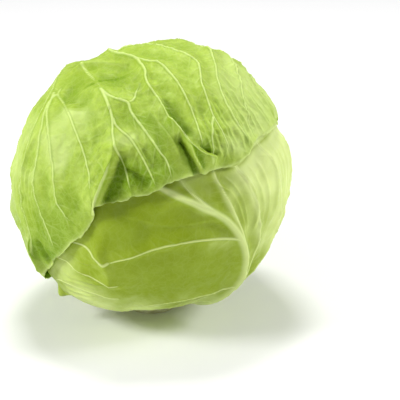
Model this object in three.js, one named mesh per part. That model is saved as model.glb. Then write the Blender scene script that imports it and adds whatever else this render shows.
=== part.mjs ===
// A head of white cabbage, trimmed and standing on the cut face of its stalk.
//
// Units are millimetres and +Z is up. The origin is the middle of the stalk's cut face, the front
// of the head faces -Y, and +X is on the right as seen from the front.
//
// The head is a dense heart on a short stalk, wrapped by four leaves that lie one over another.
// Every surface is a height above the middle of the head, so a leaf is known by the directions
// that it covers and by what lies under it. A direction is written [azimuth, elevation], in
// degrees: azimuth 0 is +X, 90 the back, 180 the left and -90 the front.

import * as THREE from "three";
import { ConvexHull } from "three/addons/math/ConvexHull.js";

const { degToRad, lerp, smoothstep } = THREE.MathUtils;

// Driving dimensions of the heart and the stalk.
const CENTRE_HEIGHT = 88; // middle of the head above the cut face
const HEART_RADIUS = 84; // of the heart, before its swells
const BASE_HOLLOW = 12; // how far the heart draws in round the stalk
const BASE_HOLLOW_SPREAD = 24; // degrees from the stalk
const STALK_HALF_ANGLE = 12; // degrees, of a cone whose tip is the middle of the head
const STALK_TOP = 14.5;
const SEAT = 14.9; // height of the heart's flat underside, just clear of the stalk
const STALK_CHAMFER = 1;
const STALK_SIDES = 26;

// Driving dimensions of the leaves.
const BLADE = 1.0; // thickness of a leaf between its ribs
const GAP = 0.8; // air between a leaf and what it lies on
const LAP = 4; // how far a leaf stays up beyond the edge of one under it
const DRAPE = 10; // distance in which it then comes down
const MIDRIB = { rootWidth: 14, tipWidth: 3, rootHeight: 3.6, tipHeight: 1.3 }; // half widths
const MIDRIB_SPREAD = 9; // how much wider a midrib is in the leaves that lie on it
const RIB = { rootWidth: 4.2, tipWidth: 3.5, rootHeight: 2.4, tipHeight: 1.1 };
const WAVE = { height: 2.2, length: 44, reach: 13 }; // of the edge: it lifts and dies away inwards
const STALK_CLEAR = -62; // elevation under which the leaf bases lie flat, with no waves

// Spacing of the corners that a leaf's faces are made from.
const EDGE_STEP = 7.5;
const RIB_STEP = 8.5;
const FILL_COUNT = 760; // spread evenly over the whole head
const EDGE_MARGIN = 4.6; // least distance from the edge to a corner inside it
const FILL_ROOM = 6; // least distance from a fill corner to any other
const HOLE = 8.2; // a place this far from every corner gets one more
const RIB_ROOM = 3.3;
const PATH_STEP = 2; // of the fine paths that distances are measured to

// Where the packed head swells or sinks: a direction, a spread in degrees and a height.
const SWELLS = [
  { at: [28, 48], spread: 28, height: 3.2 },
  { at: [134, 60], spread: 12, height: -4.5 },
  { at: [150, 50], spread: 8, height: 3 },
  { at: [168, 26], spread: 24, height: -3.6 },
  { at: [-175, -11], spread: 8, height: 3 },
  { at: [-160, -42], spread: 20, height: 4 },
  { at: [-128, -60], spread: 18, height: 3 },
  { at: [-150, 55], spread: 9, height: -3.2 },
  { at: [-128, 74], spread: 9, height: -2.4 },
  { at: [-98, 12], spread: 7, height: -2.6 },
  { at: [-60, 44], spread: 7, height: -2.2 },
  { at: [-128, 34], spread: 12, height: 1.8 },
  { at: [-100, -12], spread: 12, height: 1.6 },
  { at: [-40, 22], spread: 16, height: 1.4 },
];

// The wrapper leaves, from the innermost to the outermost. An edge runs from the leaf's base up
// its right side, over its top and down its left side. Ribs run from their roots to their tips.
// A fold is where a leaf stands off from what it lies on.
const LEAVES = [
  {
    name: "wrapper_leaf_4",
    colour: 0xb4cf6c,
    folds: [{ at: [62, -45], spread: 8, height: 1.6 }],
    edge: [
      [47, -77], [72, -74], [95, -62], [111, -44], [121, -22], [124, 2], [117, 28], [100, 48],
      [70, 62], [32, 65], [2, 55], [-16, 38], [-27, 15], [-29, -8], [-24, -32], [-10, -54],
      [18, -71],
    ],
    midrib: [[47, -77], [47, -52], [46, -25], [43, 0], [42, 20]],
    ribs: [
      [[47, -48], [58, -36], [66, -20], [70, -2]],
      [[46, -27], [56, -14], [60, 0], [61, 12]],
      [[46, -30], [34, -16], [27, -2], [24, 12]],
    ],
  },
  {
    name: "wrapper_leaf_3",
    colour: 0xb2cd66,
    folds: [{ at: [-165, -58], spread: 8, height: 1.4 }],
    edge: [
      [-175, -77], [-150, -74], [-126, -63], [-111, -45], [-101, -24], [-98, 0], [-103, 25],
      [-116, 46], [-145, 62], [178, 66], [145, 59], [121, 42], [108, 20], [105, -5],
      [111, -30], [124, -53], [150, -71],
    ],
    midrib: [[-175, -77], [-175, -55], [-176, -25], [-173, 5]],
    ribs: [
      [[-175, -64], [-166, -56], [-158, -46]],
      [[-175, -68], [-192, -60], [-202, -52]],
    ],
  },
  {
    name: "wrapper_leaf_2",
    colour: 0xa9c65b,
    folds: [
      { at: [-149, -42], spread: 6, height: 4.2 },
      { at: [-112, -12], spread: 6, height: 2 },
      { at: [-75, 8], spread: 8, height: 1.4 },
      { at: [-18, 12], spread: 8, height: 1.4 },
      { at: [26, -30], spread: 9, height: 1.6 },
    ],
    edge: [
      [-36, -77], [-12, -75], [12, -64], [33, -46], [47, -23], [52, 0], [48, 25], [34, 46],
      [8, 62], [-35, 71], [-82, 70], [-120, 58], [-144, 38], [-155, 12], [-158, -12],
      [-157, -30], [-154, -38], [-148, -46], [-138, -57], [-116, -67], [-90, -73], [-60, -76],
    ],
    midrib: [
      [-36, -77], [-36, -56], [-38, -37], [-43, -21], [-50, -8], [-56, 0], [-63, 6], [-71, 11],
      [-79, 15], [-88, 18],
    ],
    ribs: [
      [[-62, 5], [-69, 10], [-74, 16], [-78, 22]],
      [[-53, -4], [-57, 7], [-60, 15], [-62, 24]],
      [[-46, -14], [-43, 3], [-45, 14], [-51, 24]],
      [[-39, -33], [-29, -12], [-26, 5], [-29, 15], [-33, 28]],
      [[-37, -48], [-20, -26], [-10, -5], [-9, 10], [-8, 26]],
      [[-36, -58], [-6, -42], [9, -22], [14, 0], [14, 18]],
      [[-36, -66], [12, -52], [31, -28], [36, -6]],
      [[-49, -9], [-66, -7], [-83, -5], [-98, -10], [-108, -13], [-115, -10], [-124, -9]],
      [[-108, -13], [-112, -5], [-115, 1]],
      [[-44, -19], [-70, -23], [-90, -24], [-107, -23], [-121, -21], [-133, -20]],
      [[-38, -39], [-68, -41], [-98, -39], [-124, -34], [-142, -30]],
      [[-36, -55], [-75, -56], [-108, -52], [-134, -45]],
    ],
  },
  {
    name: "wrapper_leaf_1",
    colour: 0x9dc04c,
    folds: [
      { at: [-101, 25], spread: 5, height: 3 },
      { at: [-107, 16], spread: 5.5, height: 3.4 },
      { at: [-111, 8], spread: 5, height: 2.4 },
      { at: [-74, 36], spread: 5, height: 2.6 },
      { at: [-66, 29], spread: 5, height: 2.2 },
      { at: [-131, -14], spread: 6, height: 2.4 },
      { at: [-148, -30], spread: 6, height: 2 },
      { at: [-41, 33], spread: 6, height: 2 },
      { at: [-18, 34], spread: 7, height: 1.8 },
      { at: [10, 30], spread: 8, height: 1.6 },
      { at: [140, -48], spread: 9, height: 1.6 },
    ],
    edge: [
      [105, -77], [120, -76], [135, -69], [150, -59], [168, -51], [-172, -46], [-155, -37],
      [-145, -29], [-136, -20], [-131, -16], [-126, -12], [-120, -5], [-115, -1], [-112, 4],
      [-110, 9], [-105, 12], [-99, 13], [-91, 16], [-85, 18], [-81, 21], [-77, 23], [-72, 21],
      [-67, 22], [-60, 23], [-51, 24], [-43, 25], [-35, 28], [-26, 29], [-10, 28], [2, 26],
      [13, 22], [25, 13], [37, -3], [48, -25], [60, -50], [75, -68], [90, -76],
    ],
    midrib: [
      [105, -77], [105, -60], [104, -30], [106, 0], [111, 30], [126, 58], [-178, 75],
      [-122, 77], [-99, 71], [-93, 64], [-84, 55], [-80, 47], [-76, 40], [-71, 35], [-67, 30],
    ],
    ribs: [
      [[104, -46], [124, -36], [146, -30], [166, -32], [-176, -36]],
      [[104, -24], [127, -8], [150, -3], [172, -10], [-172, -20]],
      [[105, -4], [128, 16], [152, 24], [177, 18], [-171, 6], [-166, -6]],
      [[109, 22], [137, 43], [168, 50], [-166, 48], [-153, 42], [-147, 36], [-137, 26], [-130, 12]],
      [[-162, 47], [-150, 38], [-144, 26], [-141, 12], [-136, 2], [-132, -6]],
      [[-165, 46], [-155, 30], [-151, 18], [-150, 6], [-147, -8]],
      [[-147, 47], [-138, 42], [-125, 35], [-118, 27], [-115, 20]],
      [[126, 58], [152, 65], [179, 63], [-155, 60], [-124, 55], [-115, 49], [-108, 39], [-105, 33],
        [-101, 26]],
      [[-122, 54], [-112, 53], [-104, 50], [-96, 42], [-88, 35], [-83, 28]],
      [[-104, 51], [-99, 57], [-96, 63]],
      [[-108, 38], [-99, 34], [-93, 28], [-89, 21]],
      [[-130, 76], [-104, 78], [-76, 72], [-68, 61], [-65, 51], [-64, 42], [-65, 35]],
      [[172, 75], [130, 82], [10, 84], [-26, 73], [-40, 64], [-50, 56], [-54, 45], [-55, 37],
        [-53, 29]],
      [[118, 47], [88, 62], [40, 68], [-12, 67], [-34, 58], [-41, 48], [-42, 38], [-42, 30]],
      [[107, 30], [84, 46], [50, 57], [14, 58], [-10, 54], [-22, 45], [-29, 35]],
      [[105, 10], [85, 28], [58, 41], [27, 44], [5, 39], [-8, 32]],
      [[104, -14], [86, 4], [64, 16], [43, 20], [28, 17]],
      [[104, -40], [88, -26], [71, -15], [53, -10], [44, -10]],
    ],
  },
];

const HEART_COLOUR = 0xd9e4b4;
const STALK_COLOUR = 0xe9ebcb;
const LEAF_ROUGHNESS = 0.55;

// A direction from its azimuth and elevation in degrees, as a unit vector.
function direction([azimuth, elevation]) {
  return new THREE.Vector3().setFromSphericalCoords(
    1, degToRad(90 - elevation), degToRad(azimuth + 90),
  ).applyAxisAngle(new THREE.Vector3(1, 0, 0), Math.PI / 2);
}

// Points close together on the smooth path through some directions.
function pathThrough(directions, closed, step) {
  const curve = new THREE.CatmullRomCurve3(directions.map(direction), closed, "catmullrom", 0.5);
  const count = Math.ceil((curve.getLength() * HEART_RADIUS) / step);
  const points = curve.getSpacedPoints(count).map((p) => p.normalize());
  return closed ? points.slice(0, -1) : points;
}

// The nearest point of a path, as its index and its distance over the head.
function nearestOn(path, d) {
  let index = 0;
  let least = Infinity;
  path.forEach((p, i) => {
    const gap = p.distanceToSquared(d);
    if (gap < least) [index, least] = [i, gap];
  });
  return { index, distance: Math.sqrt(least) * HEART_RADIUS };
}

// Height of a bump that is round in section and ends smoothly at its half width.
function ridge(distance, halfWidth, height) {
  const share = Math.min(distance / halfWidth, 1);
  return height * (1 - share ** 2) ** 2;
}

// Height that soft round bumps add up to in a direction.
function bumps(list, d) {
  return list.reduce((sum, { at, spread, height }) => {
    const share = direction(at).angleTo(d) / degToRad(spread);
    return sum + height * Math.exp(-(share ** 2));
  }, 0);
}

// Height of the heart's surface above the middle of the head.
function heartHeight(d) {
  const fromStalk = THREE.MathUtils.radToDeg(Math.acos(-d.z));
  const hollow = BASE_HOLLOW * Math.exp(-((fromStalk / BASE_HOLLOW_SPREAD) ** 2));
  const round = HEART_RADIUS - hollow + bumps(SWELLS, d);
  return d.z < 0 ? Math.min(round, (SEAT - CENTRE_HEIGHT) / d.z) : round;
}

// One rib: its fine path, and its width and height, which taper from its root to its tip.
class Rib {
  constructor(directions, size) {
    this.path = pathThrough(directions, false, PATH_STEP);
    this.size = size;
  }

  widthAt(index) {
    const left = 1 - index / (this.path.length - 1);
    return lerp(this.size.tipWidth, this.size.rootWidth, left ** 1.6);
  }

  heightAt(index) {
    const left = 1 - index / (this.path.length - 1);
    return lerp(this.size.tipHeight, this.size.rootHeight, left ** 1.6);
  }

  heightOver(d, spread = 0) {
    const { index, distance } = nearestOn(this.path, d);
    return ridge(distance, this.widthAt(index) + spread, this.heightAt(index));
  }

  // Corners along the crest, and with them those at a share of the half width on both sides.
  corners(share = 1) {
    const every = Math.round(RIB_STEP / PATH_STEP);
    return this.path.flatMap((d, i) => {
      if (i % every || i === 0 || i === this.path.length - 1) return [];
      if (!share) return [d];
      const along = this.path[i + 1].clone().sub(this.path[i - 1]);
      const across = d.clone().cross(along).setLength((share * this.widthAt(i)) / HEART_RADIUS);
      return [d, d.clone().add(across).normalize(), d.clone().sub(across).normalize()];
    });
  }
}

// One wrapper leaf, which lies over the leaves of lower levels.
class Leaf {
  constructor({ name, colour, folds, edge, midrib, ribs }, level) {
    this.name = name;
    this.colour = colour;
    this.folds = folds;
    this.level = level;
    this.edge = pathThrough(edge, true, PATH_STEP);
    this.midrib = new Rib(midrib, MIDRIB);
    this.ribs = ribs.map((rib) => new Rib(rib, RIB));
  }

  // How far inside its edge a direction lies, over the head. It is negative outside.
  inset(d) {
    const { index, distance } = nearestOn(this.edge, d);
    const count = this.edge.length;
    const before = this.edge[(index + count - 1) % count];
    const after = this.edge[(index + 1) % count];
    return before.clone().cross(after).dot(d) > 0 ? distance : -distance;
  }

  // 1 over the leaf, falling to 0 in the distance that a leaf above needs to come down past it.
  cover(d) {
    return smoothstep(this.inset(d), -LAP - DRAPE, -LAP);
  }

  // How far the leaf raises a leaf that lies on it, which can't follow its midrib closely.
  rise(d) {
    return GAP + BLADE + this.midrib.heightOver(d, MIDRIB_SPREAD);
  }

  // 1 where no leaf lies above, 0 under another leaf.
  bare(d) {
    return leaves.slice(this.level + 1).reduce((share, leaf) => share * (1 - leaf.cover(d)), 1);
  }

  // Lift of the waved edge.
  wave(d) {
    if (d.z < Math.sin(degToRad(STALK_CLEAR))) return 0;
    const { index, distance } = nearestOn(this.edge, d);
    const turns = (index * PATH_STEP) / WAVE.length;
    const crest = (1 - Math.cos(2 * Math.PI * turns)) / 2;
    return WAVE.height * crest * Math.exp(-distance / WAVE.reach);
  }

  // Heights of the leaf's inner and outer faces above the middle of the head.
  faces(d) {
    const bare = this.bare(d);
    const lift = this.wave(d) + bumps(this.folds, d);
    const inner = heightUnder(this.level, d) + GAP + bare * lift;
    const ribs = this.ribs.reduce((most, rib) => Math.max(most, rib.heightOver(d)), 0);
    const midrib = this.midrib.heightOver(d);
    return { inner, outer: inner + BLADE + Math.max(midrib, bare * ribs) };
  }

  // The corners of its net: its edge, its ribs where they show, and an even fill.
  corners() {
    const every = Math.round(EDGE_STEP / PATH_STEP);
    const kept = this.edge.filter((_, i) => i % every === 0 && i <= this.edge.length - every);
    const add = (d, room) => {
      const apart = room / HEART_RADIUS;
      if (this.inset(d) > EDGE_MARGIN && kept.every((p) => p.distanceTo(d) > apart)) kept.push(d);
    };
    this.midrib.corners().forEach((d) => add(d, RIB_ROOM));
    leaves.slice(0, this.level).flatMap((leaf) => leaf.midrib.corners(0))
      .forEach((d) => add(d, FILL_ROOM / 2));
    this.ribs.flatMap((rib) => rib.corners())
      .filter((d) => this.bare(d) > 0.3)
      .forEach((d) => add(d, RIB_ROOM));
    evenDirections(FILL_COUNT).forEach((d) => add(d, FILL_ROOM));
    evenDirections(FILL_COUNT * 5).forEach((d) => add(d, HOLE));
    return kept;
  }

  mesh() {
    const corners = this.corners();
    const net = netOver(corners).filter((triangle) => {
      const [a, b, c] = triangle.map((i) => corners[i]);
      const middle = a.clone().add(b).add(c).normalize();
      return a.clone().cross(b).dot(c) > 0 && this.inset(middle) > 0;
    });
    const heights = corners.map((d) => this.faces(d));
    const outer = corners.map((d, i) => placed(d, heights[i].outer));
    const inner = corners.map((d, i) => placed(d, heights[i].inner));
    return named(this.name, shell(outer, inner, net), this.colour);
  }
}

// Height of what the leaf at a level lies on.
function heightUnder(level, d) {
  return leaves.slice(0, level)
    .reduce((height, leaf) => height + leaf.cover(d) * leaf.rise(d), heartHeight(d));
}

// Directions spread evenly over the whole head, on a spiral by the golden angle.
function evenDirections(count) {
  const golden = Math.PI * (3 - Math.sqrt(5));
  return Array.from({ length: count }, (_, i) => {
    const z = 1 - (2 * i + 1) / count;
    const r = Math.sqrt(1 - z ** 2);
    return new THREE.Vector3(r * Math.cos(i * golden), r * Math.sin(i * golden), z);
  });
}

// Triangles that join directions to their neighbours: the faces of their convex hull.
function netOver(directions) {
  const indexOf = new Map(directions.map((d, i) => [d, i]));
  return new ConvexHull().setFromPoints(directions).faces.map((face) =>
    [0, 1, 2].map((i) => indexOf.get(face.getEdge(i).head().point)));
}

// A point of the part, from its direction and its height above the middle of the head.
function placed(d, height) {
  return d.clone().multiplyScalar(height).add(new THREE.Vector3(0, 0, CENTRE_HEIGHT));
}

function geometryOf(points, triangles) {
  const geometry = new THREE.BufferGeometry().setFromPoints(points);
  geometry.setIndex(triangles.flat());
  geometry.computeVertexNormals();
  return geometry;
}

// A thin closed body between two layers of corners that share one net.
function shell(outer, inner, net) {
  const count = outer.length;
  const edges = new Set(net.flatMap(([a, b, c]) => [`${a},${b}`, `${b},${c}`, `${c},${a}`]));
  const rim = [...edges].map((edge) => edge.split(",").map(Number))
    .filter(([a, b]) => !edges.has(`${b},${a}`))
    .flatMap(([a, b]) => [[b, a, a + count], [b, a + count, b + count]]);
  const back = net.map(([a, b, c]) => [c + count, b + count, a + count]);
  return geometryOf([...outer, ...inner], [...net, ...back, ...rim]);
}

function named(name, geometry, colour) {
  const material = new THREE.MeshStandardMaterial({
    color: colour, roughness: LEAF_ROUGHNESS, metalness: 0,
  });
  const mesh = new THREE.Mesh(geometry, material);
  mesh.name = name;
  return mesh;
}

function heartMesh() {
  const corners = evenDirections(FILL_COUNT);
  const points = corners.map((d) => placed(d, heartHeight(d)));
  return named("heart", geometryOf(points, netOver(corners)), HEART_COLOUR);
}

// The stump that the leaves grow from, cut flat under the head.
function stalkMesh() {
  const radiusAt = (z) => (CENTRE_HEIGHT - z) * Math.tan(degToRad(STALK_HALF_ANGLE));
  const profile = [
    [0, 0],
    [radiusAt(0) - STALK_CHAMFER, 0],
    [radiusAt(STALK_CHAMFER), STALK_CHAMFER],
    [radiusAt(STALK_TOP), STALK_TOP],
    [0, STALK_TOP],
  ].map(([r, z]) => new THREE.Vector2(r, z));
  const geometry = new THREE.LatheGeometry(profile, STALK_SIDES);
  const mesh = named("stalk", geometry, STALK_COLOUR);
  mesh.rotation.x = Math.PI / 2; // the lathe turns about Y, and the stalk stands along Z
  return mesh;
}

const leaves = LEAVES.map((leaf, level) => new Leaf(leaf, level));

const cabbage = new THREE.Group();
cabbage.add(stalkMesh(), heartMesh(), ...leaves.map((leaf) => leaf.mesh()));

export default cabbage;
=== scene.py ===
"""A head of white cabbage, trimmed and standing on the cut face of its stalk.

Everything is in metres, +Z is up, the front of the head faces -Y and the origin is the middle of
the stalk's cut face. The head is round, so each surface is a height above the middle of the head,
and each place on it is a direction: an azimuth and an elevation in degrees, where azimuth 0 is +X,
90 the back, 180 the left and -90 the front.
"""

import logging
import math
from dataclasses import dataclass, field
from enum import Enum

import bpy
import numpy as np
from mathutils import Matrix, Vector


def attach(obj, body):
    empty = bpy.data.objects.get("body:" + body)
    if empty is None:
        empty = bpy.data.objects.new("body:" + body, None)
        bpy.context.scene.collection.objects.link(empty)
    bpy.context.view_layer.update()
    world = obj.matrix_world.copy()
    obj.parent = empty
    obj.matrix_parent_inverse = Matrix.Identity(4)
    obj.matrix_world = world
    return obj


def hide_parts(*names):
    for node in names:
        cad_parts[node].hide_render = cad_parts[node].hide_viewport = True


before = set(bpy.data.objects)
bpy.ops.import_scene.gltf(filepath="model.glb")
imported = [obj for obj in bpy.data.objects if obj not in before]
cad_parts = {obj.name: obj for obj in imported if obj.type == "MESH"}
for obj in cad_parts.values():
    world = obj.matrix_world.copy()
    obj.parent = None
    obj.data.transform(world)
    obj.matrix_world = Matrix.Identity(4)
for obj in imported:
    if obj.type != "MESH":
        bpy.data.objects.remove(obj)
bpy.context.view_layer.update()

log = logging.getLogger("cabbage")

Direction = tuple[float, float]
Span = tuple[float, float]
Colour = tuple[float, float, float]

MM = 0.001
BODY = "root"

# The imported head, as the CAD has it.
CENTRE_HEIGHT = 88 * MM
HEART_RADIUS = 84 * MM
BASE_HOLLOW = 12 * MM
BASE_HOLLOW_SPREAD = 24.0
SEAT = 14.9 * MM
BLADE = 1.0 * MM
GAP = 0.8 * MM
LAP = 4 * MM
DRAPE = 10 * MM
MIDRIB_SPREAD = 9 * MM

# How a leaf is finished here. The leaves lie a little lower, which leaves room for their relief.
SETTLE = 1.8 * MM
EDGE_BLADE = 0.45 * MM
EDGE_GAP = 0.35 * MM
EDGE_TAPER = 9 * MM

# Upward parts of the directions under which an edge lies flat and over which it waves freely.
FLAT_BELOW = math.sin(math.radians(-62.0))
FREE_ABOVE = -0.4

# Keeps divisions by zero away.
TINY = 1e-9

# How finely lines are worked out, and how many directions are looked at in one go.
PATH_STEP = 1.6 * MM
CURVE_STEPS = 24
AT_ONCE = 20000

# How a sheet sags beside a line that holds it up, and how a rib slims towards its tip.
SAG = 1.8
SLIMMING = 1.6

# The noise: how many slopes it draws from, and how strong it is.
SLOPES = 256
NOISE_GAIN = 1.5
FACET_TOP = 0.45
FACET_FALL = 1.7

# How far light goes into a surface, and how much of that its red, green and blue go.
GLOW_DEPTH = 3 * MM
LEAF_GLOW = (0.8, 1.0, 0.25)
FLESH_GLOW = (1.0, 0.9, 0.5)

# How many of the lumps that push the finest veins about there are to one cell between them.
SHIFT_SCALE = 0.7


class Mark(str, Enum):
    """A value that a leaf's mesh carries for its material to read."""

    VEIN = "vein"
    NET = "net"
    # Painted shade where the blade dips.
    PAINTED_SHADE = "hollow"
    # A painted highlight along the edge.
    EDGE_HIGHLIGHT = "rim"
    # The leaf's own paler and greener places, and painted highlights and painted shade.
    TINT_AND_LIGHT = "tint_and_light"


def unit(directions: list[Direction] | tuple[Direction, ...]) -> np.ndarray:
    """Turns directions in degrees into unit vectors.

    Args:
        directions: Pairs of azimuth and elevation.

    Returns:
        One unit vector in each row.
    """
    azimuth, elevation = np.radians(np.array(directions, dtype=float)).T
    level = np.cos(elevation)
    return np.stack([level * np.cos(azimuth), level * np.sin(azimuth), np.sin(elevation)], axis=1)


def normalised(vectors: np.ndarray) -> np.ndarray:
    """Scales each row to length one."""
    return vectors / np.linalg.norm(vectors, axis=-1, keepdims=True)


def smoothstep(value: np.ndarray, low: float, high: float) -> np.ndarray:
    """Rises smoothly from 0 at low to 1 at high."""
    share = np.clip((value - low) / (high - low), 0, 1)
    return share * share * (3 - 2 * share)


def ridge(distance: np.ndarray, half_width: np.ndarray | float) -> np.ndarray:
    """Section of a round bump of height one that ends smoothly at its half width."""
    share = np.clip(distance / half_width, 0, 1)
    return (1 - share**2) ** 2


def tent(distance: np.ndarray, half_width: np.ndarray | float) -> np.ndarray:
    """Section of a sheet of height one that is held up on a sharp line, and sags beside it."""
    return (1 - np.clip(distance / half_width, 0, 1)) ** SAG


def lattice_noise(places: np.ndarray, seed: int) -> np.ndarray:
    """Reads smooth gradient noise whose lumps are one unit apart.

    Args:
        places: One point in each row.
        seed: Of the noise.

    Returns:
        A value at each point, within about -1 and 1.
    """
    random = np.random.default_rng(seed)
    shuffled = random.permutation(SLOPES)
    slopes = normalised(random.normal(size=(SLOPES, 3)))
    cell = np.floor(places).astype(int)
    inside = places - cell
    ease = inside**3 * (inside * (inside * 6 - 15) + 10)
    total = np.zeros(len(places))
    for corner in np.ndindex(2, 2, 2):
        x, y, z = (cell + corner).T % SLOPES
        slope = slopes[shuffled[(shuffled[(shuffled[x] + y) % SLOPES] + z) % SLOPES]]
        weight = np.prod(np.where(np.array(corner) == 1, ease, 1 - ease), axis=1)
        total += weight * np.einsum("ij,ij->i", slope, inside - corner)
    return NOISE_GAIN * total


@dataclass(frozen=True)
class Noise:
    """Noise over a leaf, for one of the things that vary on it.

    Attributes:
        size: Of its largest lumps, in metres.
        octaves: How many layers are added up, each half as large and half as strong.
        seed: Added to the leaf's own.
    """

    size: float
    octaves: int
    seed: int

    def layers(self, d: np.ndarray, seed: int) -> list[np.ndarray]:
        """Reads the layers one by one, all at full strength.

        Args:
            d: One unit vector in each row.
            seed: Of the leaf.

        Returns:
            The layers, from the coarsest to the finest.
        """
        places = d * HEART_RADIUS / self.size
        first = (seed + self.seed) * 10
        return [lattice_noise(places * 2**i, first + i) for i in range(self.octaves)]

    def clouds(self, d: np.ndarray, seed: int) -> np.ndarray:
        """Gives smooth noise in each direction, mostly within -1 and 1."""
        return sum(layer / 2**i for i, layer in enumerate(self.layers(d, seed)))

    def facets(self, d: np.ndarray, seed: int) -> np.ndarray:
        """Gives facets that meet on sharp crests, as in crumpled sheets, from about -1 to 0.5."""
        folded = [FACET_TOP - FACET_FALL * np.abs(layer) for layer in self.layers(d, seed)]
        return sum(layer / 2**i for i, layer in enumerate(folded))


# What the noise is for: the swellings and the finest relief of a blade, how unevenly they are
# spread, the ins, outs and curls of its edge, its patches of colour and how those wander.
PUCKERS = Noise(17 * MM, 3, 0)
CRINKLE = Noise(5 * MM, 3, 9)
UNEVENNESS = Noise(40 * MM, 1, 70)
BROAD_FRINGE = Noise(17 * MM, 1, 20)
FINE_FRINGE = Noise(5 * MM, 2, 30)
CURLS = Noise(8 * MM, 2, 40)
PATCHES = Noise(22 * MM, 3, 60)
STRAYING = Noise(26 * MM, 2, 61)


@dataclass(frozen=True)
class Near:
    """What is nearest on a path: how far along, how far away and on which side.

    Attributes:
        share: 0 at the path's start and 1 at its end.
        distance: Over the head, in metres.
        side: 1 on the left of the path as seen from outside, -1 on its right.
    """

    share: np.ndarray
    distance: np.ndarray
    side: np.ndarray


class Path:
    """A smooth line over the head through some directions."""

    def __init__(self, directions: tuple[Direction, ...], closed: bool = False) -> None:
        """Lays the line.

        Args:
            directions: What it passes through, in order.
            closed: Whether it comes back to its first direction.
        """
        self.closed = closed
        corners = unit(directions)
        if closed:
            ring = np.vstack([corners[-1:], corners, corners[:2]])
        else:
            before = 2 * corners[0] - corners[1]
            after = 2 * corners[-1] - corners[-2]
            ring = np.vstack([before, corners, after])
        fine = [self._span(*ring[i : i + 4]) for i in range(len(ring) - 3)]
        line = normalised(np.vstack(fine + [ring[-2:-1]]))
        lengths = np.concatenate([[0], np.cumsum(np.linalg.norm(np.diff(line, axis=0), axis=1))])
        self.length = float(lengths[-1]) * HEART_RADIUS
        count = max(4, math.ceil(self.length / PATH_STEP))
        at = np.linspace(0, lengths[-1], count + 1)
        spaced = np.stack([np.interp(at, lengths, line[:, axis]) for axis in range(3)], axis=1)
        self.points = normalised(spaced)

    @staticmethod
    def _span(a: np.ndarray, b: np.ndarray, c: np.ndarray, d: np.ndarray) -> np.ndarray:
        """Draws a piece of a smooth curve through four points.

        Args:
            a: The first point.
            b: The second, where the piece starts.
            c: The third, where it ends.
            d: The fourth.

        Returns:
            Points from the second up to the third, which isn't among them.
        """
        t = np.linspace(0, 1, CURVE_STEPS, endpoint=False)[:, None]
        return 0.5 * (
            2 * b + (c - a) * t + (2 * a - 5 * b + 4 * c - d) * t**2 + (3 * b - a - 3 * c + d) * t**3
        )

    def near(self, d: np.ndarray) -> Near:
        """Finds the nearest place on the path for each direction.

        Args:
            d: One unit vector in each row.

        Returns:
            Where it is and how far away.
        """
        points = self.points[:-1] if self.closed else self.points
        count = len(points)
        nearest = np.empty(len(d), dtype=int)
        for start in range(0, len(d), AT_ONCE):
            block = slice(start, start + AT_ONCE)
            nearest[block] = np.argmax(d[block] @ points.T, axis=1)
        if self.closed:
            first, last = (nearest - 1) % count, (nearest + 1) % count
        else:
            first, last = np.maximum(nearest - 1, 0), np.minimum(nearest + 1, count - 1)
        back_share, back = nearest_on_segment(d, points[first], points[nearest])
        on_share, on = nearest_on_segment(d, points[nearest], points[last])
        ahead = on < back
        share = np.where(ahead, nearest + on_share, nearest - 1 + back_share)
        turn = np.einsum("ij,ij->i", np.cross(points[first], points[last]), d)
        total = count if self.closed else count - 1
        return Near(
            np.clip(share / total, 0, 1),
            np.where(ahead, on, back) * HEART_RADIUS,
            np.where(turn > 0, 1.0, -1.0),
        )


def nearest_on_segment(
    d: np.ndarray, a: np.ndarray, b: np.ndarray
) -> tuple[np.ndarray, np.ndarray]:
    """Measures from points to segments, row by row.

    Args:
        d: The points.
        a: Starts of the segments.
        b: Ends of the segments.

    Returns:
        How far along each segment the nearest place is, and how far away.
    """
    span = b - a
    squared = np.maximum(np.einsum("ij,ij->i", span, span), TINY)
    share = np.clip(np.einsum("ij,ij->i", d - a, span) / squared, 0, 1)
    return share, np.linalg.norm(d - a - share[:, None] * span, axis=1)


def degrees_from(at: Direction, d: np.ndarray) -> np.ndarray:
    """Gives the angle between a direction and each of the others, in degrees."""
    return np.degrees(np.arccos(np.clip(d @ unit([at])[0], -1, 1)))


def leaning(middle: np.ndarray, toward: np.ndarray, angle: np.ndarray) -> np.ndarray:
    """Turns a middle direction by some angles towards others that are square to it."""
    return np.cos(angle)[:, None] * middle + np.sin(angle)[:, None] * toward


@dataclass(frozen=True)
class Bump:
    """A soft round swelling, or a hollow if its height is negative.

    Attributes:
        at: Its middle.
        spread: Its size in degrees.
        height: In metres.
    """

    at: Direction
    spread: float
    height: float

    def over(self, d: np.ndarray) -> np.ndarray:
        """Gives its height in each direction."""
        return self.height * np.exp(-(degrees_from(self.at, d) / self.spread) ** 2)


@dataclass(frozen=True)
class Crease:
    """A fold along a line, which can fall off more steeply on one side.

    Attributes:
        line: What it passes through.
        height: In metres, negative for a valley.
        left: How far it reaches on its left, as seen from outside.
        right: How far it reaches on its right.
        ends: Share of its length in which it rises at each end.
    """

    line: tuple[Direction, ...]
    height: float
    left: float
    right: float
    ends: float = 0.3

    def over(self, d: np.ndarray) -> np.ndarray:
        """Gives its height in each direction.

        Args:
            d: One unit vector in each row.

        Returns:
            A height for each, in the unit of its own height.
        """
        near = Path(self.line).near(d)
        reach = np.where(near.side > 0, self.left, self.right)
        end = smoothstep(np.minimum(near.share, 1 - near.share), -0.02, self.ends)
        return self.height * tent(near.distance, reach) * end


@dataclass(frozen=True)
class TintAndLightStroke(Crease):
    """A line of colour on a leaf, partly along its veins in their own tone and mostly painted
    highlights and painted shade along its folds: its height is how much paler, up to 1, and below 0
    it is greener.
    """

    ends: float = 0.25


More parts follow.
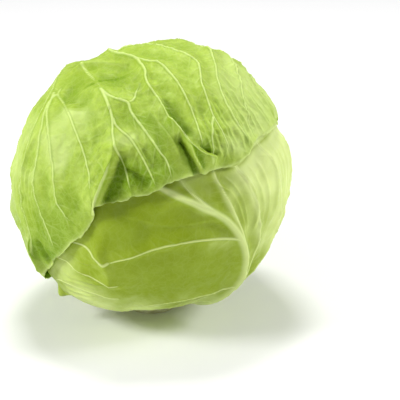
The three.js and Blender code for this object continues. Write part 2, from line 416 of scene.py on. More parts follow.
@dataclass(frozen=True)
class TintAndLight:
    """A paler place on a leaf, or a greener one if its strength is negative; some are the leaf's own
    tone, and others are painted highlights where paler and painted shade where greener.

    Attributes:
        at: Its middle.
        spread: Its size in degrees.
        strength: Up to 1, or down to -1.
    """

    at: Direction
    spread: float
    strength: float

    def over(self, d: np.ndarray) -> np.ndarray:
        """Gives how much paler the leaf is in each direction."""
        return self.strength * np.exp(-(degrees_from(self.at, d) / self.spread) ** 3)


@dataclass(frozen=True)
class RibSize:
    """Half widths and heights of a rib at its root and at its tip, in metres."""

    root_width: float
    tip_width: float
    root_height: float
    tip_height: float

    def width(self, share: np.ndarray) -> np.ndarray:
        """Half width at a share of the rib's length."""
        return self.tip_width + (self.root_width - self.tip_width) * (1 - share) ** SLIMMING

    def height(self, share: np.ndarray) -> np.ndarray:
        """Height at a share of the rib's length."""
        return self.tip_height + (self.root_height - self.tip_height) * (1 - share) ** SLIMMING


MIDRIB = RibSize(14 * MM, 3 * MM, 3.6 * MM, 1.3 * MM)
MIDRIB_CREST = RibSize(5 * MM, 0.9 * MM, 1.0 * MM, 0.4 * MM)
RIB_CREST = RibSize(1.2 * MM, 0.6 * MM, 0.48 * MM, 0.18 * MM)
RIB_TENT = RibSize(12 * MM, 10 * MM, 3.0 * MM, 2.0 * MM)
FINE_CREST = RibSize(0.8 * MM, 0.62 * MM, 0.3 * MM, 0.12 * MM)
FINE_TENT = RibSize(7 * MM, 5 * MM, 1.4 * MM, 1.0 * MM)
PLEAT_CREST = RibSize(0.9 * MM, 0.7 * MM, 0.12 * MM, 0.1 * MM)
PLEAT_TENT = RibSize(2.9 * MM, 2.4 * MM, 1.25 * MM, 1.1 * MM)


class Rib:
    """One rib of a leaf, from its root to its tip."""

    # How it fades at its tip, how the blade dips beside it, and in which shares of its length the
    # blade begins to hang from it.
    TIP_FADE = 12 * MM
    DIP = 0.35
    DIP_WIDTH = 3.2
    TENT_TIP = 0.15
    TENT_ROOT = 0.12

    def __init__(
        self,
        line: tuple[Direction, ...],
        crest: RibSize = RIB_CREST,
        tent: RibSize = RIB_TENT,
        root_fade: float = 2 * MM,
    ) -> None:
        """Lays the rib.

        Args:
            line: What it passes through.
            crest: Sizes of the rib itself.
            tent: How far and how high it holds the blade beside it.
            root_fade: How far it takes to rise at its root.
        """
        self.path = Path(line)
        self.crest = crest
        self.tent = tent
        self.root_fade = root_fade

    def over(self, near: Near, size: RibSize, spread: float = 0.0) -> np.ndarray:
        """Gives the height of a round rib of some size, with its half width spread by some more."""
        return size.height(near.share) * ridge(near.distance, size.width(near.share) + spread)

    def crest_over(self, near: Near) -> np.ndarray:
        """Gives the height of the rib itself, beside which the blade dips a little.

        Args:
            near: Where the directions lie beside its path.

        Returns:
            A height for each direction, in metres.
        """
        width = self.crest.width(near.share)
        dip = self.crest.height(near.share) * ridge(near.distance, self.DIP_WIDTH * width)
        return self.ends(near) * (self.over(near, self.crest) - self.DIP * dip)

    def tent_over(self, near: Near) -> np.ndarray:
        """Gives the height of the blade that hangs from the rib.

        Args:
            near: Where the directions lie beside its path.

        Returns:
            A height for each direction, in metres.
        """
        tip = smoothstep(1 - near.share, -0.05, self.TENT_TIP)
        root = smoothstep(near.share, -0.05, self.TENT_ROOT)
        height = self.tent.height(near.share)
        return tip * root * height * tent(near.distance, self.tent.width(near.share))

    def line_over(self, near: Near) -> np.ndarray:
        """Gives 1 on the rib's middle, 0 at its half width and less outside, for a crisp line."""
        line = np.maximum(1 - near.distance / self.crest.width(near.share), -1)
        return line - (1 - self.ends(near))

    def ends(self, near: Near) -> np.ndarray:
        """Gives 1 along the rib, falling to 0 at its ends.

        Args:
            near: Where the directions lie beside its path.

        Returns:
            A share for each direction.
        """
        along = near.share * self.path.length
        tip = smoothstep(self.path.length - along, -0.3 * MM, self.TIP_FADE)
        return tip * smoothstep(along, -0.2 * MM, self.root_fade)


@dataclass(frozen=True)
class PleatFan:
    """Fine folds side by side.

    Attributes:
        first: Line of the first fold, from its start to its end.
        last: Line of the last one, through as many directions.
        count: Of the folds.
        seed: Of their random draws.
    """

    # How unevenly the folds lie, in shares of their spacing and in degrees, and how late they
    # start and how early they end, in shares of their first and last stretches.
    UNEVEN = 0.32
    STRAY = 0.35
    LATE_START = 0.7
    EARLY_END = 0.25
    ROOT_FADE = 9 * MM

    first: tuple[Direction, ...]
    last: tuple[Direction, ...]
    count: int
    seed: int

    def folds(self) -> list[Rib]:
        """Lays the folds, unevenly as they come.

        Returns:
            The folds, each as a thin rib.
        """
        random = np.random.default_rng(self.seed)
        first, last = np.array(self.first, dtype=float), np.array(self.last, dtype=float)
        folds = []
        for i in range(self.count):
            share = (i + random.uniform(-self.UNEVEN, self.UNEVEN)) / (self.count - 1)
            line = first + (last - first) * share + random.normal(0, self.STRAY, first.shape)
            line[0] += (line[1] - line[0]) * random.uniform(0, self.LATE_START)
            line[-1] += (line[-2] - line[-1]) * random.uniform(0, self.EARLY_END)
            folds.append(Rib(tuple(map(tuple, line)), PLEAT_CREST, PLEAT_TENT, self.ROOT_FADE))
        return folds


class VeinNet:
    """The small veins that branch off the ribs and run across to their neighbours."""

    # The places of branches are shares of their spacing, lengths are shares of the longest, and
    # angles are in degrees.
    STEP = 1.5 * MM
    SPACING = 9 * MM
    FIRST = (0.4, 1.2)
    NEXT = (0.6, 1.5)
    LONGEST = 19 * MM
    LENGTHS = (0.35, 1.0)
    ANGLES = (38, 66)
    BEND = (-4, 1.5)
    WANDER = 9
    WANING = 0.65
    HALF_WIDTH = 0.9 * MM
    ROOM = 5 * MM
    END_ROOM = 4 * MM
    MEETS_RIB = 1.2 * MM
    MEETS_VEIN = 1.4 * MM
    FREE_STEPS = 2
    AT_ONCE = 5000

    def __init__(self, ribs: list[Rib], seed: int) -> None:
        """Grows the veins.

        Args:
            ribs: What they start from and end on.
            seed: Of the random draws.
        """
        self.random = np.random.default_rng(seed)
        self.starts: list[np.ndarray] = []
        self.ends: list[np.ndarray] = []
        self.strengths: list[float] = []
        self.grown = np.array([[0.0, 0.0, 0.0]])
        for rib in ribs:
            others = np.vstack([other.path.points for other in ribs if other is not rib])
            self._branch(rib.path, others)
        self.a = np.array(self.starts)
        self.b = np.array(self.ends)
        self.strength = np.array(self.strengths)

    def _branch(self, path: Path, others: np.ndarray) -> None:
        """Grows the branches of one rib on both sides.

        Args:
            path: Of the rib.
            others: Points of the other ribs.
        """
        points = path.points
        for side in (-1, 1):
            at = self.random.uniform(*self.FIRST) * self.SPACING
            while at < path.length - self.END_ROOM:
                index = min(int(at / path.length * (len(points) - 1)), len(points) - 2)
                along = normalised(points[index + 1] - points[index])
                if not self._meets(points[index], others, self.ROOM):
                    self._grow(points[index], along, side, others)
                at += self.SPACING * self.random.uniform(*self.NEXT)

    def _grow(self, start: np.ndarray, along: np.ndarray, side: int, others: np.ndarray) -> None:
        """Grows one branch until it meets a rib or is long enough.

        Args:
            start: Where it leaves its rib.
            along: Which way the rib runs there.
            side: 1 on the left of the rib as seen from outside, -1 on its right.
            others: Points of the other ribs.
        """
        angle = side * math.radians(self.random.uniform(*self.ANGLES))
        length = self.random.uniform(*self.LENGTHS) * self.LONGEST
        step = self.STEP / HEART_RADIUS
        heading = along * math.cos(angle) + np.cross(start, along) * math.sin(angle)
        bend = side * math.radians(self.random.uniform(*self.BEND))
        point = start
        count = int(length / self.STEP)
        first = len(self.ends)
        for i in range(count):
            turn = bend + math.radians(self.random.normal(0, self.WANDER))
            heading = heading * math.cos(turn) + np.cross(point, heading) * math.sin(turn)
            after = normalised(point + heading * step)
            heading = normalised(heading - after * np.dot(heading, after))
            self.starts.append(point)
            self.ends.append(after)
            self.strengths.append(1 - self.WANING * i / count)
            point = after
            at_rib = self._meets(after, others, self.MEETS_RIB)
            if i > self.FREE_STEPS and (at_rib or self._meets(after, self.grown, self.MEETS_VEIN)):
                break
        self.grown = np.vstack([self.grown, *self.ends[first:]])

    @staticmethod
    def _meets(point: np.ndarray, others: np.ndarray, room: float) -> bool:
        """Tells whether a point lies closer to another rib than some room."""
        return bool(np.max(others @ point) > 1 - 0.5 * (room / HEART_RADIUS) ** 2)

    def over(self, d: np.ndarray) -> np.ndarray:
        """Gives up to 1 on the middle of a small vein, 0 at its side and less outside.

        Args:
            d: One unit vector in each row.

        Returns:
            A value for each.
        """
        middle = normalised(self.a + self.b).astype(np.float32)
        looked = d.astype(np.float32)
        nearest = np.empty(len(d), dtype=int)
        for start in range(0, len(d), self.AT_ONCE):
            block = slice(start, start + self.AT_ONCE)
            nearest[block] = np.argmax(looked[block] @ middle.T, axis=1)
        _, distance = nearest_on_segment(d, self.a[nearest], self.b[nearest])
        line = np.maximum(1 - distance * HEART_RADIUS / self.HALF_WIDTH, -1)
        return line * self.strength[nearest]


# How the head departs from round.
SWELLS = (
    Bump((28, 48), 28, 3.2 * MM),
    Bump((134, 60), 12, -4.5 * MM),
    Bump((150, 50), 8, 3 * MM),
    Bump((168, 26), 24, -3.6 * MM),
    Bump((-175, -11), 8, 3 * MM),
    Bump((-160, -42), 20, 4 * MM),
    Bump((-128, -60), 18, 3 * MM),
    Bump((-150, 55), 9, -3.2 * MM),
    Bump((-128, 74), 9, -2.4 * MM),
    Bump((-98, 12), 7, -2.6 * MM),
    Bump((-60, 44), 7, -2.2 * MM),
    Bump((-128, 34), 12, 1.8 * MM),
    Bump((-100, -12), 12, 1.6 * MM),
    Bump((-40, 22), 16, 1.4 * MM),
    Bump((-172, 33), 14, 3.0 * MM),
    Bump((5, 8), 16, 2.4 * MM),
    Bump((-125, 68), 11, -2.0 * MM),
)


def heart_height(d: np.ndarray) -> np.ndarray:
    """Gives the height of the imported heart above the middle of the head, in each direction.

    Args:
        d: One unit vector in each row.

    Returns:
        A height for each, in metres.
    """
    from_stalk = np.degrees(np.arccos(np.clip(-d[:, 2], -1, 1)))
    hollow = BASE_HOLLOW * np.exp(-((from_stalk / BASE_HOLLOW_SPREAD) ** 2))
    height = HEART_RADIUS - SETTLE - hollow + sum(swell.over(d) for swell in SWELLS)
    down = np.minimum(d[:, 2], -TINY)
    return np.where(d[:, 2] < 0, np.minimum(height, (SEAT - CENTRE_HEIGHT) / down), height)


def placed(d: np.ndarray, height: np.ndarray) -> np.ndarray:
    """Turns directions and heights above the middle of the head into points."""
    return d * height[:, None] + np.array([0, 0, CENTRE_HEIGHT])


def new_mesh(name: str, points: np.ndarray, faces: np.ndarray | list) -> bpy.types.Object:
    """Makes a smooth mesh object and links it to the scene.

    Args:
        name: Of the object.
        points: One corner in each row.
        faces: Corner numbers of each face.

    Returns:
        The object.
    """
    mesh = bpy.data.meshes.new(name)
    mesh.from_pydata(points.tolist(), [], [tuple(map(int, face)) for face in faces])
    mesh.shade_smooth()
    mesh.update()
    piece = bpy.data.objects.new(name, mesh)
    bpy.context.collection.objects.link(piece)
    return piece


def ring_faces(rings: int, sides: int) -> list[tuple[int, ...]]:
    """Joins rings of corners into a closed skin.

    Args:
        rings: Number of rings, from the bottom to the top.
        sides: Corners in each ring.

    Returns:
        Corner numbers of each face. The middles of the bottom and the top come after the rings.
    """
    faces = []
    for ring in range(rings - 1):
        for side in range(sides):
            a, b = ring * sides + side, ring * sides + (side + 1) % sides
            faces.append((a, b, b + sides, a + sides))
    bottom = rings * sides
    last = bottom - sides
    for side in range(sides):
        after = (side + 1) % sides
        faces.append((after, side, bottom))
        faces.append((last + side, last + after, bottom + 1))
    return faces


class Nodes:
    """Makes the nodes of one material and joins them."""

    def __init__(self, name: str) -> None:
        """Starts a material with a Principled shader.

        Args:
            name: Of the material.
        """
        self.material = bpy.data.materials.new(name)
        self.material.use_nodes = True
        self.tree = self.material.node_tree
        self.shader = self.tree.nodes["Principled BSDF"]

    def add(self, kind: str, **settings: object) -> bpy.types.Node:
        """Adds a node and sets its properties.

        Args:
            kind: Of node.
            **settings: Its properties.

        Returns:
            The node.
        """
        node = self.tree.nodes.new(kind)
        for name, value in settings.items():
            setattr(node, name, value)
        return node

    def join(self, source: bpy.types.NodeSocket, target: bpy.types.NodeSocket) -> None:
        """Links two sockets."""
        self.tree.links.new(source, target)

    def mark(self, mark: Mark) -> bpy.types.NodeSocket:
        """Reads a value that the mesh carries."""
        return self.add("ShaderNodeAttribute", attribute_name=mark.value).outputs["Fac"]

    def noise(self, size: float, detail: float, warp: float = 0.0) -> bpy.types.NodeSocket:
        """Adds noise.

        Args:
            size: Of its lumps, in metres.
            detail: How many finer layers it has.
            warp: How far its lumps are drawn out of shape.

        Returns:
            A value within 0 and 1.
        """
        place = self.add("ShaderNodeTexCoord").outputs["Object"]
        node = self.add("ShaderNodeTexNoise")
        node.inputs["Scale"].default_value = 1 / size
        node.inputs["Detail"].default_value = detail
        node.inputs["Distortion"].default_value = warp
        self.join(place, node.inputs["Vector"])
        return node.outputs["Fac"]

    def cells(self, size: float) -> bpy.types.NodeSocket:
        """Adds uneven cells, as between the finest veins.

        Args:
            size: Of the cells, in metres.

        Returns:
            The distance to the nearest side of a cell, in cells.
        """
        place = self.add("ShaderNodeTexCoord").outputs["Object"]
        shift = self.add("ShaderNodeTexNoise")
        shift.inputs["Scale"].default_value = SHIFT_SCALE / size
        self.join(place, shift.inputs["Vector"])
        offset = self.add("ShaderNodeVectorMath", operation="MULTIPLY_ADD")
        self.join(shift.outputs["Color"], offset.inputs[0])
        offset.inputs[1].default_value = (size, size, size)
        self.join(place, offset.inputs[2])
        node = self.add("ShaderNodeTexVoronoi", feature="DISTANCE_TO_EDGE")
        node.inputs["Scale"].default_value = 1 / size
        self.join(offset.outputs["Vector"], node.inputs["Vector"])
        return node.outputs["Distance"]

    def spread(
        self, value: bpy.types.NodeSocket, span: Span, to: Span = (0, 1)
    ) -> bpy.types.NodeSocket:
        """Maps a value smoothly from one range to another.

        Args:
            value: What is mapped.
            span: The range that counts.
            to: What its two ends become.

        Returns:
            The mapped value.
        """
        node = self.add("ShaderNodeMapRange", interpolation_type="SMOOTHSTEP")
        for name, number in zip(("From Min", "From Max", "To Min", "To Max"), (*span, *to)):
            node.inputs[name].default_value = number
        self.join(value, node.inputs["Value"])
        return node.outputs["Result"]

    def math(
        self, operation: str, a: bpy.types.NodeSocket, b: bpy.types.NodeSocket | float
    ) -> bpy.types.NodeSocket:
        """Works out one value from two.

        Args:
            operation: What is done with them.
            a: The first.
            b: The second.

        Returns:
            The result.
        """
        node = self.add("ShaderNodeMath", operation=operation)
        self.join(a, node.inputs[0])
        if isinstance(b, (int, float)):
            node.inputs[1].default_value = b
        else:
            self.join(b, node.inputs[1])
        return node.outputs["Value"]

    def blend(
        self,
        share: bpy.types.NodeSocket,
        a: bpy.types.NodeSocket | Colour,
        b: bpy.types.NodeSocket | Colour,
    ) -> bpy.types.NodeSocket:
        """Mixes two colours.

        Args:
            share: Of the second one.
            a: The first colour.
            b: The second colour.

        Returns:
            The mixed colour.
        """
        node = self.add("ShaderNodeMix", data_type="RGBA")
        self.join(share, node.inputs["Factor"])
        for side, name in ((a, "A"), (b, "B")):
            socket = next(s for s in node.inputs if s.name == name and s.type == "RGBA")
            if isinstance(side, tuple):
                socket.default_value = (*side, 1)
            else:
                self.join(side, socket)
        return next(s for s in node.outputs if s.type == "RGBA")

    def glow(self, weight: float, reach: Colour) -> None:
        """Lets light into the surface.

        Args:
            weight: How much of it.
            reach: How far its red, green and blue go, in shares of the depth.
        """
        self.shader.inputs["Subsurface Weight"].default_value = weight
        self.shader.inputs["Subsurface Radius"].default_value = reach
        self.shader.inputs["Subsurface Scale"].default_value = GLOW_DEPTH

    def bump(self, height: bpy.types.NodeSocket, strength: float, depth: float) -> None:
        """Gives the surface a fine relief.

        Args:
            height: Of the relief, within 0 and 1.
            strength: How much it counts.
            depth: Height of 1, in metres.
        """
        node = self.add("ShaderNodeBump")
        node.inputs["Strength"].default_value = strength
        node.inputs["Distance"].default_value = depth
        self.join(height, node.inputs["Height"])
        self.join(node.outputs["Normal"], self.shader.inputs["Normal"])


@dataclass(frozen=True)
class LeafFinish:
    """The skin of a leaf: waxy green blade, paler veins and a fine net between them, with painted
    shade and highlights.

    Attributes:
        name: Of the material.
        blade: Colour of most of the leaf.
        deep: Colour of its greener patches.
        hollow: Its darkest green, for its specks, its greener places, and painted shade where it
            dips and beside its ribs.
        vein: Colour of its ribs and veins.
        pale: Colour of its paler places and of its painted highlights.
        roughness: Middle of its range.
        glow: How much light passes through its skin.
        net: How plainly the finest veins show.
        branches: How plainly the small veins show.
        flank_shade: How much painted shade darkens the blade beside its ribs.
        patches: Size of the greener patches.
        specks: Size of its specks.
        wide_mesh: Size of the cells between the finest veins.
        fine_mesh: Size of the smaller cells inside them.
        grain: Size of the grain of its surface.
    """

    name: str
    blade: Colour
    deep: Colour
    hollow: Colour
    vein: Colour
    pale: Colour
    roughness: float = 0.5
    glow: float = 0.2
    net: float = 0.13
    branches: float = 0.3
    flank_shade: float = 0.3
    patches: float = 26 * MM
    specks: float = 4.5 * MM
    wide_mesh: float = 6 * MM
    fine_mesh: float = 2.4 * MM
    grain: float = 1.1 * MM

    def material(self) -> bpy.types.Material:
        """Makes the material.

        Returns:
            The material.
        """
        nodes = Nodes(self.name)
        specks = nodes.spread(nodes.noise(self.specks, 5), (0.3, 0.7))
        wide = nodes.spread(nodes.cells(self.wide_mesh), (0.0, 0.08), (self.net, 0))
        small = nodes.spread(nodes.cells(self.fine_mesh), (0.0, 0.12), (0.6 * self.net, 0))
        mesh = nodes.math("MAXIMUM", wide, small)
        colour = self._veined(nodes, self._blade(nodes, specks), mesh)
        nodes.join(colour, nodes.shader.inputs["Base Color"])
        glossiest, dullest = self.roughness - 0.09, self.roughness + 0.13
        rough = nodes.spread(specks, (0, 1), (glossiest, dullest))
        nodes.join(rough, nodes.shader.inputs["Roughness"])
        nodes.shader.inputs["Specular IOR Level"].default_value = 0.16
        nodes.glow(self.glow, LEAF_GLOW)
        grain = nodes.math("ADD", nodes.math("MULTIPLY", mesh, 0.8), nodes.noise(self.grain, 4))
        nodes.bump(grain, 0.35, 0.35 * MM)
        return nodes.material

    def _blade(self, nodes: Nodes, specks: bpy.types.NodeSocket) -> bpy.types.NodeSocket:
        """Colours the blade: patches and specks, painted shade where it dips, and greener and paler
        where marked, which is partly its own tone and partly painted shade and highlights.

        Args:
            nodes: Of the material.
            specks: Its specks, within 0 and 1.

        Returns:
            The colour.
        """
        patches = nodes.spread(nodes.noise(self.patches, 4, 0.6), (0.35, 0.65))
        colour = nodes.blend(patches, self.blade, self.deep)
        colour = nodes.blend(nodes.math("MULTIPLY", specks, 0.3), colour, self.hollow)
        # Painted shade: darker green where the blade dips, and where marked greener, which is mostly
        # painted shade too.
        shade_in_dips = nodes.math("MULTIPLY", nodes.mark(Mark.PAINTED_SHADE), 0.7)
        greener = nodes.spread(nodes.mark(Mark.TINT_AND_LIGHT), (-1, 0), (1, 0))
        colour = nodes.blend(nodes.math("MAXIMUM", shade_in_dips, greener), colour, self.hollow)
        # Paler where marked: partly the leaf's own tone and partly painted highlight.
        return nodes.blend(nodes.spread(nodes.mark(Mark.TINT_AND_LIGHT), (0, 1)), colour, self.pale)

    def _veined(
        self, nodes: Nodes, colour: bpy.types.NodeSocket, mesh: bpy.types.NodeSocket
    ) -> bpy.types.NodeSocket:
        """Lays over the blade the veins, painted shade beside the ribs, the ribs, and a painted
        highlight along the edge.

        Args:
            nodes: Of the material.
            colour: Of the blade.
            mesh: How plainly the finest veins show.

        Returns:
            The colour.
        """
        branches = nodes.spread(nodes.mark(Mark.NET), (0, 1), (0, self.branches))
        colour = nodes.blend(nodes.math("MAXIMUM", branches, mesh), colour, self.vein)
        # Painted shade on the blade beside the ribs.
        shade_beside_ribs = nodes.spread(nodes.mark(Mark.VEIN), (-1, -0.2), (0, self.flank_shade))
        colour = nodes.blend(shade_beside_ribs, colour, self.hollow)
        ribs = nodes.spread(nodes.mark(Mark.VEIN), (-0.15, 0.8), (0, 0.8))
        colour = nodes.blend(ribs, colour, self.vein)
        # A painted highlight along the edge of the leaf.
        rim = nodes.math("MULTIPLY", nodes.mark(Mark.EDGE_HIGHLIGHT), 0.85)
        return nodes.blend(rim, colour, self.vein)


@dataclass(frozen=True)
class FleshFinish:
    """Pale firm flesh of the stalk and the heart.

    Attributes:
        name: Of the material.
        light: Its main colour.
        shade: Colour of its blotches and fibres.
        grain: Size of its fibres in metres.
        roughness: Of its surface.
        blotches: Their size.
        glow: How much light passes through it.
    """

    name: str
    light: Colour
    shade: Colour
    grain: float
    roughness: float = 0.6
    blotches: float = 8 * MM
    glow: float = 0.2

    def material(self) -> bpy.types.Material:
        """Makes the material.

        Returns:
            The material.
        """
        nodes = Nodes(self.name)
        blotches = nodes.spread(nodes.noise(self.blotches, 4, 0.5), (0.35, 0.7))
        fibres = nodes.spread(nodes.noise(self.grain, 5, 1.5), (0.35, 0.65))
        colour = nodes.blend(blotches, self.light, self.shade)
        colour = nodes.blend(nodes.math("MULTIPLY", fibres, 0.4), colour, self.shade)
        nodes.join(colour, nodes.shader.inputs["Base Color"])
        glossiest, dullest = self.roughness - 0.1, self.roughness + 0.12
        rough = nodes.spread(fibres, (0, 1), (glossiest, dullest))
        nodes.join(rough, nodes.shader.inputs["Roughness"])
        nodes.glow(self.glow, FLESH_GLOW)
        nodes.bump(fibres, 0.4, 0.4 * MM)
        return nodes.material


Finish = LeafFinish | FleshFinish


@dataclass
class Piece:
    """A piece of the head, which takes the place of one node of the CAD.

    Attributes:
        node: The CAD node that it stands for.
        slot: The record's material slot; it is not used here.
        finish: Its material.
    """

    node: str
    slot: str
    finish: Finish

    def dress(self, piece: bpy.types.Object) -> None:
        """Gives the piece its material and its place in the frame.

        Args:
            piece: Its mesh object.
        """
        piece.data.materials.append(self.finish.material())
        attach(piece, BODY)
        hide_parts(self.node)


# Each leaf skin's hollow colour is its darkest green, which also paints shade into its dips, beside
# its ribs and in its greener marked places; its pale colour also serves for painted highlights.
OUTER_FINISH = LeafFinish(
    "outer_leaf_skin",
    blade=(0.42, 0.57, 0.085),
    deep=(0.36, 0.5, 0.05),
    hollow=(0.16, 0.28, 0.002),
    vein=(0.62, 0.76, 0.26),
    pale=(0.58, 0.72, 0.23),
)
SECOND_FINISH = LeafFinish(
    "second_leaf_skin",
    blade=(0.33, 0.44, 0.035),
    deep=(0.28, 0.38, 0.015),
    hollow=(0.21, 0.3, 0.004),
    vein=(0.7, 0.81, 0.32),
    pale=(0.7, 0.83, 0.3),
    roughness=0.48,
    net=0.05,
    branches=0.12,
    flank_shade=0.12,
)
INNER_FINISH = LeafFinish(
    "inner_leaf_skin",
    blade=(0.48, 0.64, 0.14),
    deep=(0.4, 0.56, 0.1),
    hollow=(0.3, 0.46, 0.06),
    vein=(0.74, 0.8, 0.4),
    pale=(0.72, 0.78, 0.4),
)
HEART_FINISH = FleshFinish("heart_skin", (0.66, 0.74, 0.34), (0.52, 0.62, 0.2), 3 * MM, 0.5)
STALK_FINISH = FleshFinish("stalk_flesh", (0.78, 0.76, 0.52), (0.55, 0.52, 0.3), 1.2 * MM)


@dataclass(frozen=True)
class LeafPlan:
    """Where a leaf lies and how it is folded.

    Attributes:
        edge: From the leaf's base up its right side, over its top and down its left side.
        middle: A direction that sees the whole edge round it.
        midrib: From its root to its tip.
        ribs: The other ribs, each from its root to its tip.
        fine_ribs: Thinner ones.
        fans: Fine folds between the ribs.
        folds: Bumps and creases where the leaf stands off from what it lies on.
        tints_and_light: Where it is paler or greener, from its own tone and from painted highlights
            and painted shade.
        strokes: Along which lines it is paler or greener, from its own tone and from painted
            highlights, painted shade and painted shadow.
        midrib_crest: Sizes of the crest of its midrib.
        cells: Number of faces across it, both ways.
        stand_off: How far it lies off what it covers, where nothing holds it down.
        pucker: Height of the small swellings between its veins.
        crinkle: Height of the finest ones.
        wave_height: Lift of its edge.
        wave_length: Length of the waves along the edge.
        seed: Of its random draws.
    """

    edge: tuple[Direction, ...]
    middle: Direction
    midrib: tuple[Direction, ...]
    ribs: tuple[tuple[Direction, ...], ...] = ()
    fine_ribs: tuple[tuple[Direction, ...], ...] = ()
    fans: tuple[PleatFan, ...] = ()
    folds: tuple[Bump | Crease, ...] = ()
    tints_and_light: tuple[TintAndLight, ...] = ()
    strokes: tuple[TintAndLightStroke, ...] = ()
    midrib_crest: RibSize = MIDRIB_CREST
    cells: int = 140
    stand_off: float = 0.0
    pucker: float = 0.5 * MM
    crinkle: float = 0.2 * MM
    wave_height: float = 1.6 * MM
    wave_length: float = 44 * MM
    seed: int = 1


@dataclass(frozen=True)
class Ribbing:
    """What the ribs, the small veins and the pleats of a leaf give in each direction.

    Attributes:
        tents: Height of the blade that hangs from them.
        crests: Height of the ribs themselves.
        veins: 1 on the middle of a rib, 0 at its side and less outside.
        net: The same for the small veins and the pleats.
    """

    tents: np.ndarray
    crests: np.ndarray
    veins: np.ndarray
    net: np.ndarray


@dataclass
class WrapperLeaf(Piece):
    """One wrapper leaf, a thin closed shell that lies over the leaves under it.

    Attributes:
        plan: Where it lies and how it is folded.
        under: The leaves that it lies on, from the innermost.
        above: The leaves that lie on it.
        broad_fringe: Size of the broad ins and outs of its edge.
        fine_fringe: Size of the small ones.
        fringe_fade: How quickly they fade inwards.
        wave_reach: How far in the waves of its edge reach.
        curl_reach: How far in its small curls reach.
        curl_share: Height of the curls as a share of the waves'.
        curl_floor: Where the curls are cut off on the way down.
        even: Share of its swellings that is the same all over.
        uneven: How much the rest varies.
        softness: How softly it comes down on what it lies on.
        net_height: Height of its small veins.
        pleat_line: How plainly a pleat shows as a line.
        painted_shade_depth: How far it dips for its painted shade to be full.
        rim: Width of the painted highlight along its edge.
        patchiness: How much its colour varies in patches.
        straying: How far the sides of its paler places wander, in head radii.
    """

    plan: LeafPlan
    under: list["WrapperLeaf"] = field(default_factory=list)
    above: list["WrapperLeaf"] = field(default_factory=list)
    broad_fringe: float = 1.3 * MM
    fine_fringe: float = 1.0 * MM
    fringe_fade: int = 8
    wave_reach: float = 12 * MM
    curl_reach: float = 4 * MM
    curl_share: float = 0.55
    curl_floor: float = -0.2
    even: float = 0.75
    uneven: float = 0.5
    softness: float = 0.8 * MM
    net_height: float = 0.25 * MM
    pleat_line: float = 0.8
    painted_shade_depth: float = 1.3 * MM
    rim: float = 0.8 * MM
    patchiness: float = 0.25
    straying: float = 0.11

    def __post_init__(self) -> None:
        """Lays out the leaf's edge, ribs and pleats."""
        plan = self.plan
        self.edge = Path(plan.edge, closed=True)
        self.midrib = Rib(plan.midrib, plan.midrib_crest)
        self.ribs = [Rib(line) for line in plan.ribs]
        self.ribs += [Rib(line, FINE_CREST, FINE_TENT) for line in plan.fine_ribs]
        self.pleats = [pleat for fan in plan.fans for pleat in fan.folds()]

    def inset(self, d: np.ndarray) -> np.ndarray:
        """Gives how far inside the edge each direction lies, negative outside."""
        near = self.edge.near(d)
        return near.distance * near.side

    def cover(self, d: np.ndarray) -> np.ndarray:
        """Gives 1 over the leaf, falling to 0 where a leaf above has come down past it."""
        return smoothstep(self.inset(d), -LAP - DRAPE, -LAP)

    def rise(self, d: np.ndarray) -> np.ndarray:
        """Gives how far the leaf raises one that lies on it."""
        return GAP + BLADE + self.midrib.over(self.midrib.path.near(d), MIDRIB, MIDRIB_SPREAD)

    def bare(self, d: np.ndarray) -> np.ndarray:
        """Gives 1 where no leaf lies above, and 0 under another leaf."""
        return math.prod((1 - leaf.cover(d) for leaf in self.above), start=np.ones(len(d)))

    def bed(self, d: np.ndarray) -> np.ndarray:
        """Gives the height of what the leaf lies on."""
        return heart_height(d) + sum(leaf.cover(d) * leaf.rise(d) for leaf in self.under)

    def directions(self) -> np.ndarray:
        """Spreads the leaf's corners over it, as a square grid drawn out to its edge.

        Returns:
            The corners' directions, row by row of the grid.
        """
        line = np.linspace(-1, 1, self.plan.cells + 1)
        x, y = (axis.ravel() for axis in np.meshgrid(line, line))
        wide = np.abs(x) > np.abs(y)
        longest = np.where(wide, x, y)
        safe = np.where(longest == 0, 1, longest)
        eighth = math.pi / 4
        bearing = np.where(wide, eighth * y / safe, 2 * eighth - eighth * x / safe)
        bearing = np.where(longest < 0, bearing + math.pi, bearing)
        share = np.abs(longest)

        middle = unit([self.plan.middle])[0]
        right = normalised(np.cross([0, 0, 1], middle) + np.array([0, TINY, 0]))
        up = np.cross(middle, right)
        edge = self.edge.points[:-1]
        edge_bearing = np.arctan2(edge @ up, edge @ right)
        edge_reach = np.arccos(np.clip(edge @ middle, -1, 1))
        order = np.argsort(edge_bearing)
        turn = 2 * math.pi
        reach = np.interp(bearing % turn, edge_bearing[order] % turn, edge_reach[order], period=turn)
        flat = np.cos(bearing)[:, None] * right + np.sin(bearing)[:, None] * up
        fringe = self._fringe(leaning(middle, flat, reach))
        reach = reach + fringe * share**self.fringe_fade
        return normalised(leaning(middle, flat, reach * share))

    def _fringe(self, d: np.ndarray) -> np.ndarray:
        """Gives the small ins and outs of the edge.

        Args:
            d: Directions on the edge.

        Returns:
            How far out each is moved, as an angle.
        """
        broad = self.broad_fringe * BROAD_FRINGE.clouds(d, self.plan.seed)
        fine = self.fine_fringe * FINE_FRINGE.clouds(d, self.plan.seed)
        return (broad + fine) / HEART_RADIUS

    def wave(self, edge: Near, d: np.ndarray) -> np.ndarray:
        """Gives the lift of the waved edge.

        Args:
            edge: Where the directions lie beside the edge.
            d: The directions.

        Returns:
            A height for each, in metres.
        """
        turns = edge.share * self.edge.length / self.plan.wave_length
        swing = (1 - np.cos(2 * math.pi * turns)) / 2
        curls = np.maximum(CURLS.clouds(d, self.plan.seed), self.curl_floor)
        lift = swing * np.exp(-edge.distance / self.wave_reach)
        lift += self.curl_share * curls * np.exp(-edge.distance / self.curl_reach)
        free = smoothstep(d[:, 2], FLAT_BELOW, FREE_ABOVE)
        return self.plan.wave_height * np.maximum(lift, 0) * free

